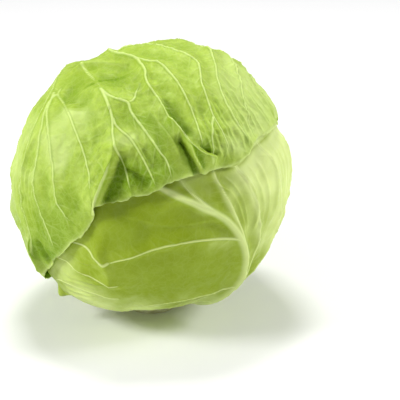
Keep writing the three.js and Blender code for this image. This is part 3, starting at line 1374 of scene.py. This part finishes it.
    def ribbing(self, d: np.ndarray, midrib: Near) -> Ribbing:
        """Brings the ribs, the small veins and the pleats together.

        The cubes of the hanging blades are added up, so that the highest counts most.

        Args:
            d: One unit vector in each row.
            midrib: Where the directions lie beside the midrib.

        Returns:
            What they give in each direction.
        """
        cubes = self.midrib.tent_over(midrib) ** 3
        crests = self.midrib.over(midrib, self.plan.midrib_crest)
        veins = self.midrib.line_over(midrib)
        for rib in self.ribs:
            near = rib.path.near(d)
            cubes += rib.tent_over(near) ** 3
            crest = rib.crest_over(near)
            crests = np.where(np.abs(crest) > np.abs(crests), crest, crests)
            veins = np.maximum(veins, rib.line_over(near))
        net = VeinNet([self.midrib, *self.ribs], self.plan.seed).over(d)
        pleats = np.zeros(len(d))
        for pleat in self.pleats:
            near = pleat.path.near(d)
            pleats = np.maximum(pleats, pleat.tent_over(near))
            net = np.maximum(net, self.pleat_line * pleat.line_over(near))
        return Ribbing(np.cbrt(cubes) + pleats, crests, veins, net)

    def tint_and_light(self, d: np.ndarray) -> np.ndarray:
        """Gives how much paler the leaf is in each direction: its own patchy tone, and painted
        highlights and painted shade.

        Args:
            d: One unit vector in each row.

        Returns:
            A value for each, from 1 for the palest down to -1 for the greenest.
        """
        seed = self.plan.seed
        stray = np.stack([STRAYING.clouds(d, seed + axis) for axis in range(3)], axis=1)
        strayed = normalised(d + self.straying * stray)
        tint_and_light = self.patchiness * PATCHES.clouds(d, seed)
        for place in self.plan.tints_and_light:
            tint_and_light = tint_and_light + place.over(strayed)
        for stroke in self.plan.strokes:
            tint_and_light = tint_and_light + stroke.over(d)
        return np.clip(tint_and_light, -1, 1)

    def build(self) -> bpy.types.Object:
        """Builds the leaf's mesh, and marks it for its material.

        Returns:
            The leaf.
        """
        plan = self.plan
        d = self.directions()
        edge = self.edge.near(d)
        midrib = self.midrib.path.near(d)
        ribbing = self.ribbing(d, midrib)
        uneven = self.even + self.uneven * UNEVENNESS.clouds(d, plan.seed)
        puckers = PUCKERS.facets(d, plan.seed) * plan.pucker * uneven
        crinkle = CRINKLE.facets(d, plan.seed) * plan.crinkle * uneven
        folds = sum((fold.over(d) for fold in plan.folds), np.zeros(len(d)))
        relief = plan.stand_off + ribbing.tents + puckers + folds + self.wave(edge, d)
        relief = 0.5 * (relief + np.hypot(relief, self.softness))

        bare = self.bare(d)
        taper = smoothstep(edge.distance, 0, EDGE_TAPER)
        gap = EDGE_GAP + (GAP - EDGE_GAP) * taper
        blade = EDGE_BLADE + (BLADE - EDGE_BLADE) * taper
        detail = ribbing.crests + self.net_height * np.maximum(ribbing.net, 0) + crinkle
        inner = self.bed(d) + gap + bare * relief
        outer = inner + blade + self.midrib.over(midrib, MIDRIB) * taper + bare * taper * detail

        piece = self._shell(placed(d, outer), placed(d, inner))
        # Painted shade: the blade is coloured darker green where its relief dips below its
        # stand-off.
        dip = plan.stand_off + self.painted_shade_depth - relief
        marks = {
            Mark.VEIN: ribbing.veins,
            Mark.NET: ribbing.net,
            Mark.PAINTED_SHADE: np.clip(dip / (2 * self.painted_shade_depth), 0, 1),
            # A painted highlight along the edge.
            Mark.EDGE_HIGHLIGHT: np.exp(-edge.distance / self.rim),
            Mark.TINT_AND_LIGHT: self.tint_and_light(d),
        }
        for mark, values in marks.items():
            self._mark(piece, mark, values)
        return piece

    def _shell(self, outer: np.ndarray, inner: np.ndarray) -> bpy.types.Object:
        """Joins the outer and the inner face of the leaf along its edge.

        Args:
            outer: Points of the outer face, row by row of the grid.
            inner: Points of the inner face.

        Returns:
            The leaf, as one closed mesh.
        """
        side = self.plan.cells + 1
        count = side * side
        corner = np.arange(count).reshape(side, side)
        quads = [corner[:-1, :-1], corner[:-1, 1:], corner[1:, 1:], corner[1:, :-1]]
        face = np.stack(quads, axis=-1).reshape(-1, 4)
        sides = [corner[0, :-1], corner[:-1, -1], corner[-1, :0:-1], corner[:0:-1, 0]]
        ring = np.concatenate(sides)
        after = np.roll(ring, -1)
        rim = np.stack([after, ring, ring + count, after + count], axis=-1)
        faces = np.vstack([face, face[:, ::-1] + count, rim])
        return new_mesh(f"{self.node}_skin", np.vstack([outer, inner]), faces)

    @staticmethod
    def _mark(piece: bpy.types.Object, mark: Mark, values: np.ndarray) -> None:
        """Stores a value at each corner, the same on both faces of the leaf."""
        store = piece.data.attributes.new(mark.value, "FLOAT", "POINT")
        store.data.foreach_set("value", np.tile(values, 2).astype(np.float32))


FOURTH_PLAN = LeafPlan(
    edge=(
        (47, -77), (72, -74), (95, -62), (111, -44), (121, -22), (124, 2), (117, 28), (100, 48),
        (70, 62), (32, 65), (2, 55), (-16, 38), (-27, 15), (-29, -8), (-24, -32), (-10, -54),
        (18, -71),
    ),
    middle=(47, 5),
    midrib=((47, -77), (47, -52), (46, -25), (43, 0), (42, 20)),
    ribs=(
        ((47, -48), (58, -36), (66, -20), (70, -2)),
        ((46, -27), (56, -14), (60, 0), (61, 12)),
        ((46, -30), (34, -16), (27, -2), (24, 12)),
        ((47, -62), (62, -58), (78, -50)),
    ),
    folds=(Bump((62, -45), 8, 1.6 * MM),),
    tints_and_light=(TintAndLight((47, -77), 22, 1.0),),
    seed=4,
)
THIRD_PLAN = LeafPlan(
    edge=(
        (-175, -77), (-150, -74), (-126, -63), (-111, -45), (-101, -24), (-98, 0), (-103, 25),
        (-116, 46), (-145, 62), (178, 66), (145, 59), (121, 42), (108, 20), (105, -5),
        (111, -30), (124, -53), (150, -71),
    ),
    middle=(-175, 5),
    midrib=((-175, -77), (-175, -55), (-176, -25), (-173, 5)),
    ribs=(
        ((-175, -64), (-166, -56), (-158, -46)),
        ((-175, -68), (-192, -60), (-202, -52)),
    ),
    folds=(Bump((-165, -58), 8, 1.4 * MM),),
    tints_and_light=(TintAndLight((-175, -77), 22, 1.0),),
    seed=3,
)
SECOND_PLAN = LeafPlan(
    edge=(
        (-36, -77), (-12, -75), (12, -64), (33, -46), (47, -23), (52, 0), (48, 25), (34, 46),
        (8, 62), (-35, 71), (-82, 70), (-120, 58), (-144, 38), (-155, 12), (-158, -12),
        (-157, -30), (-156, -38), (-153, -45), (-146, -50), (-138, -57), (-116, -67), (-90, -73),
        (-60, -76),
    ),
    middle=(-50, 8),
    midrib=(
        (-36, -77), (-36, -56), (-38, -37), (-43, -21), (-50, -8), (-56, 0), (-62, 5), (-67, 8),
        (-72, 11), (-78, 14), (-85, 18), (-92, 22), (-102, 28), (-112, 33),
    ),
    ribs=(
        ((-61, 4), (-68, 11), (-72, 15), (-75, 20), (-77, 25)),
        ((-45, -18), (-49, -6), (-54, 6), (-58, 15), (-60, 26)),
        ((-38, -38), (-36, -17), (-39, 0), (-44, 12), (-48, 21), (-51, 30)),
        ((-36, -50), (-24, -28), (-21, -6), (-25, 12), (-29, 22), (-31, 32)),
        ((-36, -58), (-10, -36), (0, -12), (-1, 8), (-8, 30)),
        ((-36, -64), (4, -46), (18, -24), (20, 0), (15, 22)),
        ((-36, -66), (12, -52), (31, -28), (36, -6)),
        ((-49, -9), (-64, -6), (-80, -6), (-91, -9), (-100, -12), (-107, -14), (-109, -14)),
        ((-104, -13), (-107, -14), (-110, -12), (-113, -10), (-120, -9), (-128, -10)),
        ((-38, -39), (-64, -41), (-84, -43), (-98, -46)),
    ),
    fine_ribs=(
        ((-102, -27), (-118, -22), (-132, -20), (-141, -21)),
        ((-104, -38), (-120, -34), (-136, -33), (-149, -38)),
        ((-36, -55), (-75, -56), (-108, -52), (-134, -45)),
    ),
    fans=(
        PleatFan(((-47, -6), (-54, 10), (-68, 22)), ((-36, -22), (-30, 4), (-36, 27)), 5, 21),
        PleatFan(((-34, -26), (-24, 2), (-27, 27)), ((-14, -30), (9, 0), (6, 25)), 7, 22),
        PleatFan(((-112, -16), (-122, -16), (-132, -16)), ((-110, -44), (-126, -42), (-142, -42)),
                 6, 23),
    ),
    folds=(
        Bump((-153, -45), 3.6, 7.5 * MM),
        Bump((-75, 8), 8, 1.2 * MM),
        Bump((-18, 12), 8, 1.2 * MM),
        Bump((26, -30), 9, 1.6 * MM),
        Bump((-97, -3), 11, -1.6 * MM),
        Bump((-118, -24), 13, 1.8 * MM),
        Crease(((-114, 4), (-112, -2), (-110, -8), (-107, -14), (-106, -21), (-107, -32)),
               3.4 * MM, 13 * MM, 12 * MM, 0.2),
        Crease(((-66, 0), (-80, -6), (-91, -9), (-100, -12), (-107, -15)), 1.6 * MM, 5 * MM,
               9 * MM),
        Crease(((-51, 2), (-68, 2), (-83, 2), (-91, 4), (-100, 6), (-110, 4)), 0.9 * MM, 2 * MM,
               5 * MM),
        Crease(((-150, -37), (-148, -42), (-146, -47)), -3.0 * MM, 2.5 * MM, 4 * MM),
    ),
    # The pale base by the stalk is the leaf's own tone; the other places are partly its own tone and
    # partly painted highlights where paler and painted shade where greener.
    tints_and_light=(
        TintAndLight((-36, -77), 30, 0.9),
        TintAndLight((-6, 8), 38, 0.95),
        TintAndLight((-132, -30), 20, 0.27),
        TintAndLight((-116, -50), 17, 0.66),
        TintAndLight((-98, -4), 10, -0.25),
        TintAndLight((-99, -27), 9, -0.3),
        TintAndLight((-64, 0), 8, -0.4),
        TintAndLight((-68, 20), 9, 0.3),
        TintAndLight((-42, 20), 11, 0.5),
    ),
    # Paler lines along the ribs, partly their own tone and partly painted highlight.
    strokes=(
        TintAndLightStroke(((-56, 0), (-67, 8), (-85, 18), (-102, 28)), 0.75, 6 * MM, 5 * MM),
        TintAndLightStroke(((-61, 4), (-68, 11), (-75, 20), (-77, 25)), 0.5, 3 * MM, 3 * MM),
        # Painted shadow of the outer leaf's edge, cast on this leaf.
        TintAndLightStroke(((-60, 21), (-46, 21), (-34, 25), (-20, 26), (2, 24), (18, 16)), -0.45, 2 * MM,
               3.5 * MM),
        TintAndLightStroke(((-49, -6), (-54, 6), (-58, 15), (-60, 26)), 0.8, 4 * MM, 1.5 * MM),
        TintAndLightStroke(((-36, -17), (-39, 0), (-44, 12), (-51, 30)), 0.7, 4 * MM, 1.5 * MM),
        TintAndLightStroke(((-24, -28), (-21, -6), (-25, 12), (-31, 32)), 0.4, 4 * MM, 1.5 * MM),
    ),
    midrib_crest=RibSize(5 * MM, 1.9 * MM, 1.1 * MM, 0.7 * MM),
    cells=340,
    stand_off=0.9 * MM,
    crinkle=0.12 * MM,
    seed=2,
)

# Lines of the outermost leaf that are both folded and painted: the sharp lip of the deep fold right
# of the middle, with a painted highlight, and the slit on the flap beside it, with painted shade.
LIP = ((-73, 35), (-71, 32), (-69.5, 28.5), (-67.5, 25), (-65, 21))
SLIT = ((-66, 32), (-62, 29.5), (-57, 27))

OUTER_PLAN = LeafPlan(
    edge=(
        (105, -77), (120, -76), (135, -69), (150, -59), (168, -51), (-172, -46), (-155, -38),
        (-144, -29), (-135, -22), (-131, -18), (-126, -14), (-121, -8), (-115, -3), (-110, 5),
        (-109, 9), (-103, 11), (-99, 12), (-94, 14), (-88, 15), (-84, 17), (-80, 19), (-76, 20),
        (-72, 21), (-65, 21), (-60, 22), (-51, 22), (-42, 24), (-36, 27), (-26, 28), (-11, 27),
        (2, 26), (13, 22), (25, 13), (37, -3), (48, -25), (60, -50), (75, -68), (90, -76),
    ),
    middle=(0, 90),
    midrib=(
        (105, -77), (105, -60), (104, -30), (106, 0), (111, 30), (126, 58), (-178, 75),
        (-120, 79), (-100, 74), (-92, 68), (-91, 64), (-88, 59), (-83, 54), (-80, 49.5), (-78, 45),
        (-75.5, 40.5), (-72.5, 36), (-70, 32), (-66, 28.5), (-60, 26),
    ),
    ribs=(
        ((104, -46), (124, -36), (146, -30), (166, -32), (-176, -36)),
        ((104, -24), (127, -8), (150, -3), (172, -10), (-172, -20)),
        ((105, -4), (128, 16), (152, 24), (177, 18), (-171, 6), (-166, -6)),
        ((109, 22), (137, 43), (168, 50), (-165, 46), (-155, 35), (-151, 23), (-151, 9),
         (-149, 2), (-144, -9), (-142, -22)),
        ((-159, 47), (-154, 41), (-147, 34), (-142, 22), (-141, 14), (-138, 6), (-134, 0),
         (-130, -8), (-129, -15)),
        ((-163, 47), (-150, 40), (-143, 35), (-136, 29), (-133, 24), (-130, 18), (-127, 9),
         (-122, 3), (-118, 0)),
        ((-125, 56), (-121, 55), (-112, 49), (-107, 43), (-105, 37), (-102, 31), (-99, 26),
         (-97, 20)),
        ((-124, 56), (-121, 55), (-115, 53), (-108, 52), (-101, 51), (-98, 47), (-90, 39),
         (-84, 31), (-81, 27), (-79, 18)),
        ((-111, 5), (-109, 10), (-108, 13), (-106, 19), (-104, 24), (-102, 29)),
        ((-125, 79), (-88, 76), (-73, 72), (-68, 66), (-65, 59), (-64, 52), (-63, 44),
         (-64, 36), (-65, 28)),
        ((172, 75), (130, 82), (-10, 80), (-25, 73), (-27, 68), (-38, 63), (-47, 57),
         (-50, 50), (-52, 42), (-52, 34), (-51, 24)),
        ((118, 47), (88, 62), (40, 66), (-8, 63), (-27, 58), (-37, 51), (-41, 42), (-41, 33),
         (-40, 26)),
        ((107, 30), (84, 46), (50, 57), (14, 57), (-8, 53), (-25, 44), (-32, 35), (-33, 29)),
        ((105, 10), (85, 28), (58, 41), (27, 47), (0, 47), (-6, 42), (-3, 35), (-5, 29)),
        ((104, -14), (86, 4), (64, 16), (43, 20), (28, 17)),
        ((104, -40), (88, -26), (71, -15), (53, -10), (44, -10)),
    ),
    fine_ribs=(
        ((-164, 50), (-157, 47), (-150, 46), (-143, 45), (-137, 43), (-130, 40), (-121, 33),
         (-116, 27), (-112, 20), (-110, 12)),
        ((-101, 51), (-98, 53), (-97, 58), (-94, 63)),
        ((-107, 44), (-105, 41), (-102, 39), (-97, 36), (-92, 30), (-88, 23), (-85, 16)),
        ((-99, 26), (-97, 21), (-95, 14)),
        ((-52, 43), (-56, 38), (-58.5, 33), (-59, 28), (-61, 22)),
    ),
    fans=(
        PleatFan(((-60, 52), (-60, 38), (-59, 23)), ((-36, 52), (-38, 40), (-38, 26)), 8, 11),
        PleatFan(((-31, 56), (-34, 42), (-34, 27)), ((6, 50), (-6, 40), (-6, 27)), 8, 12),
        PleatFan(((-168, 42), (-168, 16), (-156, -12)), ((-138, 26), (-140, 8), (-133, -10)), 9, 13),
        PleatFan(((-99, 42), (-93, 33), (-88, 22)), ((-90, 48), (-82, 38), (-76, 27)), 3, 14),
        PleatFan(((-20, 62), (-22, 54), (-24, 47)), ((8, 56), (2, 50), (-3, 44)), 6, 15),
    ),
    midrib_crest=RibSize(5 * MM, 0.5 * MM, 1.0 * MM, 0.3 * MM),
    folds=(
        Bump((150, 66), 6, -2.4 * MM),
        Bump((-100, 20), 12, 3.4 * MM),
        Crease(((-103, 34), (-103, 27), (-105, 22), (-107, 16), (-109, 8)), 4.4 * MM, 2.8 * MM,
               20 * MM, 0.12),
        Crease(((-101, 31), (-101, 26), (-103, 20), (-105, 14), (-106, 10)), -5.4 * MM, 14 * MM,
               2.6 * MM, 0.15),
        Crease(((-103, 27), (-98, 25), (-92, 22), (-86, 20)), -3.2 * MM, 2.2 * MM, 10 * MM, 0.12),
        Bump((-69, 31), 11, 2.8 * MM),
        Crease(((-80, 54), (-77, 48), (-74, 43), (-71, 39), (-68, 35)), -5.4 * MM, 8 * MM,
               3 * MM, 0.2),
        Crease(((-78, 45), (-75.5, 40.5), (-72.5, 36), (-70, 32), (-66, 28.5), (-58, 25.5)),
               4.4 * MM, 2.4 * MM, 11 * MM, 0.15),
        Crease(((-75, 37), (-72.5, 33), (-71, 29.5), (-69, 25.5), (-67.5, 22), (-66, 18)),
               -8.4 * MM, 2.2 * MM, 6 * MM, 0.15),
        Crease(LIP, 1.6 * MM, 1.4 * MM, 0.9 * MM, 0.1),
        Crease(SLIT, -2.6 * MM, 3 * MM, 1 * MM, 0.15),
        Crease(((167, 60), (-165, 62), (-142, 62), (-128, 59), (-121, 56)), 1.4 * MM, 5 * MM,
               5 * MM),
        Crease(((-167, -6), (-158, -11), (-150, -14)), -2.4 * MM, 4 * MM, 5 * MM),
        Crease(((-160, 54), (-151, 49), (-142, 47), (-131, 49)), -3.8 * MM, 12 * MM, 3 * MM),
        Crease(((-148, 62), (-132, 65), (-115, 64), (-103, 61)), -2.6 * MM, 5 * MM, 9 * MM),
        Crease(((-178, 50), (-170, 62), (-155, 71), (-128, 76), (-102, 75)), 2.6 * MM, 15 * MM,
               5 * MM),
        Bump((-142, -19), 9, 1.8 * MM),
        Crease(((-145, -10), (-143, -18), (-144, -25), (-147, -32)), 4.6 * MM, 2.6 * MM, 10 * MM),
        Crease(((-141, -11), (-138, -18), (-137, -25)), -4.0 * MM, 5 * MM, 2.5 * MM),
        Crease(((-147, -14), (-148, -23), (-153, -34)), -2.4 * MM, 2 * MM, 3 * MM),
        Bump((-103, 36), 5, 1.6 * MM),
        Bump((-114, 50), 6, 1.4 * MM),
        Bump((-83, 20), 4, 1.8 * MM),
        Bump((-82, 35), 5, 1.4 * MM),
        Bump((-148, 4), 1.8, -1.8 * MM),
        Bump((-41, 33), 6, 1.2 * MM),
        Bump((-18, 34), 7, 1.2 * MM),
        Crease(((-58, 23), (-44, 24), (-34, 28), (-20, 29), (0, 27)), 1.6 * MM, 9 * MM, 3 * MM),
        Bump((10, 30), 8, 1.6 * MM),
        Bump((140, -48), 9, 1.6 * MM),
        Bump((50, -44), 13, -5 * MM),
    ),
    # The pale base by the stalk is the leaf's own tone; the other paler places are partly its own
    # tone and partly painted highlight, and the greener ones are painted shade in its hollows.
    tints_and_light=(
        TintAndLight((105, -77), 26, 0.9),
        TintAndLight((-12, 40), 27, 0.6),
        TintAndLight((-40, 27), 9, 0.15),
        TintAndLight((-128, 34), 13, 0.55),
        TintAndLight((-100, 34), 5, 0.45),
        TintAndLight((-165, 14), 24, 0.6),
        TintAndLight((-132, -6), 14, -0.65),
        TintAndLight((-114, 26), 8, -0.3),
        TintAndLight((-50, 29), 6, 0.3),
        TintAndLight((-98, 18), 8, -0.7),
        TintAndLight((-88, 26), 8, -0.5),
        TintAndLight((-86, 40), 7, -0.5),
        TintAndLight((-93, 48), 8, -0.4),
        TintAndLight((-74, 44), 4.5, -0.6),
        TintAndLight((-61, 34), 5, -0.5),
        TintAndLight((-122, 10), 9, -0.4),
        TintAndLight((-148, 49), 5, -0.15),
        TintAndLight((-125, 66), 11, -0.48),
        TintAndLight((-138, -20), 5, -0.8),
        TintAndLight((-150, 20), 7, -0.3),
    ),
    # Painted shade along the creases, slits and hollows, and painted highlights along the lips,
    # ridges and crest of the folds.
    strokes=(
        TintAndLightStroke(((-101, 30), (-101, 26), (-103, 20), (-106, 13), (-107, 9)), -1, 9 * MM, 1 * MM),
        TintAndLightStroke(((-103, 28), (-98, 25), (-92, 22), (-85, 20)), -0.8, 0.8 * MM, 8 * MM),
        TintAndLightStroke(((-104, 29), (-101, 32), (-96, 38), (-91, 42)), 0.15, 3 * MM, 5 * MM),
        TintAndLightStroke(((-80, 53), (-77, 48), (-74.5, 43), (-72, 39), (-70, 36)), -1, 7 * MM, 2 * MM),
        TintAndLightStroke(((-75, 37), (-72.5, 33), (-71, 29.5), (-69, 25.5), (-67, 20)), -1.3, 2 * MM,
               3 * MM),
        TintAndLightStroke(((-71, 29), (-69.5, 25), (-68, 21), (-67, 18)), -1.2, 2 * MM, 4.5 * MM),
        TintAndLightStroke(((-71.5, 34), (-69.5, 30), (-67.5, 26), (-65, 21)), -1.5, 5 * MM, 0.8 * MM),
        TintAndLightStroke(LIP, 1.2, 0.5 * MM, 0.5 * MM),
        TintAndLightStroke(((-65, 30), (-62.5, 27), (-60.5, 23)), 0.6, 4 * MM, 1.2 * MM),
        TintAndLightStroke(SLIT, -1, 2.5 * MM, 0.6 * MM),
        TintAndLightStroke(((-78, 45), (-75.5, 40.5), (-72.5, 36), (-70, 32), (-66, 28.5), (-60, 26)), 1,
               0.8 * MM, 1.2 * MM),
        TintAndLightStroke(((-101, 28), (-104, 24), (-106, 19), (-108, 13), (-110, 8)), 0.8, 1.2 * MM, 0.8 * MM),
        TintAndLightStroke(((-105, 29), (-107, 24), (-109, 19), (-112, 13)), -0.4, 2 * MM, 8 * MM),
        TintAndLightStroke(((-157, 50), (-148, 46), (-140, 45), (-133, 45), (-124, 48)), -0.8, 5 * MM,
               0.7 * MM),
        TintAndLightStroke(((-146, 44), (-134, 43), (-122, 45)), 0.35, 1.2 * MM, 9 * MM),
        TintAndLightStroke(((167, 60), (-165, 62), (-142, 61), (-128, 58), (-118, 53)), 1.1, 1.6 * MM,
               1.8 * MM),
        TintAndLightStroke(((-178, 48), (-172, 61), (-155, 70), (-128, 75), (-100, 74)), 0.4, 9 * MM, 2 * MM),
        TintAndLightStroke(((-152, 46), (-147, 53), (-140, 59), (-127, 65), (-109, 67)), -0.6, 5 * MM, 5 * MM),
    ),
    cells=380,
    stand_off=1.2 * MM,
    pucker=1.35 * MM,
    crinkle=0.28 * MM,
    wave_height=2.0 * MM,
    seed=1,
)


@dataclass
class PackedHeart(Piece):
    """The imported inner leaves, which show only beside the stalk.

    Attributes:
        rings: Rows of faces from the bottom to the top.
        sides: Faces in each row.
    """

    node: str = "heart"
    slot: str = "heart"
    finish: Finish = HEART_FINISH
    rings: int = 60
    sides: int = 120

    def build(self) -> bpy.types.Object:
        """Builds the heart's mesh.

        Returns:
            The heart.
        """
        rows = np.linspace(0, math.pi, self.rings + 1)[1:-1]
        around = np.linspace(0, 2 * math.pi, self.sides, endpoint=False)
        polar, turn = (axis.ravel() for axis in np.meshgrid(rows, around, indexing="ij"))
        ring = np.stack(
            [np.sin(polar) * np.cos(turn), np.sin(polar) * np.sin(turn), -np.cos(polar)], axis=1
        )
        d = np.vstack([ring, [[0, 0, -1]], [[0, 0, 1]]])
        faces = ring_faces(len(rows), self.sides)
        return new_mesh("heart_skin", placed(d, heart_height(d)), faces)


@dataclass
class CutStalk(Piece):
    """The stump of the stalk, cut straight across.

    Attributes:
        half_angle: Of its cone, whose tip is the middle of the head, in degrees.
        top: Height where it meets the heart.
        rounding: Of the rim of the cut.
        sides: Faces round it.
        side_rings: Rings of corners up its side.
        unevenness: How far it is from round.
        lobes: Broad swellings round it.
        ripples: Narrower ones.
        ripple_twist: How far the ripples turn round it on their way up, in radians a metre.
        fibres: Fine ridges round it.
    """

    node: str = "stalk"
    slot: str = "stalk"
    finish: Finish = STALK_FINISH
    half_angle: float = 12.0
    top: float = 14.5 * MM
    rounding: float = 0.9 * MM
    sides: int = 144
    side_rings: int = 14
    unevenness: float = 0.45 * MM
    lobes: int = 3
    ripples: int = 7
    ripple_twist: float = 40.0
    fibres: int = 31

    def build(self) -> bpy.types.Object:
        """Builds the stalk's mesh.

        Returns:
            The stalk.
        """
        taper = math.tan(math.radians(self.half_angle))
        foot = CENTRE_HEIGHT * taper
        rim = self.rounding
        # The cut face and its rounded rim come first, and then the side.
        heights = [0, 0, 0, 0.1 * rim, 0.4 * rim]
        radii = [0.35 * foot, 0.7 * foot, foot - rim, foot - 0.4 * rim, foot - 0.12 * rim]
        cut_rings = len(heights)
        for share in np.linspace(0, 1, self.side_rings):
            z = rim + share * (self.top - rim)
            heights.append(z)
            radii.append((CENTRE_HEIGHT - z) * taper)
        turn = np.linspace(0, 2 * math.pi, self.sides, endpoint=False)
        points = []
        for ring, (z, r) in enumerate(zip(heights, radii)):
            lobes = 0.6 * np.sin(self.lobes * turn + 0.4)
            ripples = 0.4 * np.sin(self.ripples * turn + 1.9 + self.ripple_twist * z)
            fibres = 0.3 * np.sin(self.fibres * turn) * (ring >= cut_rings)
            radius = r + self.unevenness * ((lobes + ripples - 1) * r / foot + fibres - 0.3)
            flat = np.full(self.sides, z)
            points.append(np.stack([radius * np.cos(turn), radius * np.sin(turn), flat], axis=1))
        points.append(np.array([[0, 0, 0], [0, 0, self.top]]))
        faces = ring_faces(len(heights), self.sides)
        return new_mesh("stalk_stump", np.vstack(points), faces)


@dataclass
class CabbageHead:
    """The whole head: the stalk, the heart and the wrapper leaves.

    Attributes:
        stalk: The cut stalk.
        heart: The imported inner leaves.
        leaves: The wrapper leaves, from the innermost to the outermost.
    """

    stalk: CutStalk = field(default_factory=CutStalk)
    heart: PackedHeart = field(default_factory=PackedHeart)
    leaves: list[WrapperLeaf] = field(
        default_factory=lambda: [
            WrapperLeaf("wrapper_leaf_4", "inner_leaf", INNER_FINISH, FOURTH_PLAN),
            WrapperLeaf("wrapper_leaf_3", "inner_leaf", INNER_FINISH, THIRD_PLAN),
            WrapperLeaf("wrapper_leaf_2", "second_leaf", SECOND_FINISH, SECOND_PLAN),
            WrapperLeaf("wrapper_leaf_1", "outer_leaf", OUTER_FINISH, OUTER_PLAN),
        ]
    )

    def build(self) -> None:
        """Builds and dresses every piece, from the inside out."""
        for level, leaf in enumerate(self.leaves):
            leaf.under = self.leaves[:level]
            leaf.above = self.leaves[level + 1 :]
        for maker in (self.stalk, self.heart, *self.leaves):
            piece = maker.build()
            maker.dress(piece)
            log.info("%s: %d faces", piece.name, len(piece.data.polygons))


@dataclass(frozen=True)
class Lamp:
    """A soft square light that faces the head.

    Attributes:
        name: Of its object.
        place: Where it hangs.
        size: Of its side.
        power: In watts.
    """

    name: str
    place: tuple[float, float, float]
    size: float
    power: float

    def hang(self, aim: Vector) -> None:
        """Hangs the light.

        Args:
            aim: What it faces.
        """
        lamp = bpy.data.lights.new(self.name, "AREA")
        lamp.size = self.size
        lamp.energy = self.power
        holder = bpy.data.objects.new(self.name, lamp)
        holder.location = self.place
        holder.rotation_euler = (aim - holder.location).to_track_quat("-Z", "Y").to_euler()
        bpy.context.collection.objects.link(holder)


@dataclass
class Studio:
    """The pale floor, the soft lights and the camera.

    Attributes:
        head_middle: What the lights face and the camera is set out from.
        lamps: The lights.
        sky: Strength of the even white light all round.
        floor_half: Half the floor's side.
        floor_shades: The two colours of its paper.
        floor_blotches: Size of their blotches.
        floor_roughness: Of the paper.
        elevation: Of the camera over the floor, in degrees.
        distance: Of the camera from the head's middle.
        lens: In millimetres.
        sensor: Width of the camera's sensor in millimetres.
        aim_right: How far right of the head's middle the camera looks.
        aim_down: How far below the head's middle it looks.
    """

    head_middle: Vector = field(default_factory=lambda: Vector((0, 0, CENTRE_HEIGHT)))
    lamps: tuple[Lamp, ...] = (
        Lamp("left", (-1.2, -0.5, 0.95), 0.4, 17),
        Lamp("right", (1.25, 0.0, 0.85), 0.5, 12),
        Lamp("top", (-0.1, 0.35, 1.5), 0.4, 12),
    )
    sky: float = 0.27
    floor_half: float = 6.0
    floor_shades: tuple[Colour, Colour] = ((0.93, 0.93, 0.93), (0.95, 0.95, 0.95))
    floor_blotches: float = 0.4
    floor_roughness: float = 0.9
    elevation: float = 22.0
    distance: float = 1.0
    lens: float = 140.0
    sensor: float = 36.0
    aim_right: float = 32 * MM
    aim_down: float = 14 * MM

    def build(self) -> None:
        """Builds the floor, the world, the lights and the camera."""
        self._floor()
        self._world()
        for lamp in self.lamps:
            lamp.hang(self.head_middle)
        self._camera()
        bpy.context.scene.view_settings.view_transform = "Standard"

    def _floor(self) -> None:
        """Lays a pale matt floor."""
        half = self.floor_half
        points = np.array([[-half, -half, 0], [half, -half, 0], [half, half, 0], [-half, half, 0]])
        floor = new_mesh("studio_floor", points, [(0, 1, 2, 3)])
        nodes = Nodes("studio_paper")
        shade = nodes.blend(nodes.noise(self.floor_blotches, 2), *self.floor_shades)
        nodes.join(shade, nodes.shader.inputs["Base Color"])
        nodes.shader.inputs["Roughness"].default_value = self.floor_roughness
        floor.data.materials.append(nodes.material)

    def _world(self) -> None:
        """Fills the studio with even white light."""
        world = bpy.data.worlds.new("studio_light")
        world.use_nodes = True
        background = world.node_tree.nodes["Background"]
        background.inputs["Color"].default_value = (1, 1, 1, 1)
        background.inputs["Strength"].default_value = self.sky
        bpy.context.scene.world = world

    def _camera(self) -> None:
        """Sets up the camera, level with the photograph's."""
        angle = math.radians(self.elevation)
        ahead = Vector((0, math.cos(angle), -math.sin(angle)))
        up = Vector((0, math.sin(angle), math.cos(angle)))
        aim = self.head_middle + Vector((self.aim_right, 0, 0)) - up * self.aim_down
        lens = bpy.data.cameras.new("view")
        lens.lens = self.lens
        lens.sensor_width = self.sensor
        camera = bpy.data.objects.new("view", lens)
        camera.location = aim - ahead * self.distance
        camera.rotation_euler = ahead.to_track_quat("-Z", "Y").to_euler()
        bpy.context.collection.objects.link(camera)
        bpy.context.scene.camera = camera


def main() -> None:
    """Builds the head and the studio round it."""
    logging.basicConfig(level=logging.INFO, format="%(name)s: %(message)s")
    CabbageHead().build()
    Studio().build()


if __name__ == "__main__":
    main()
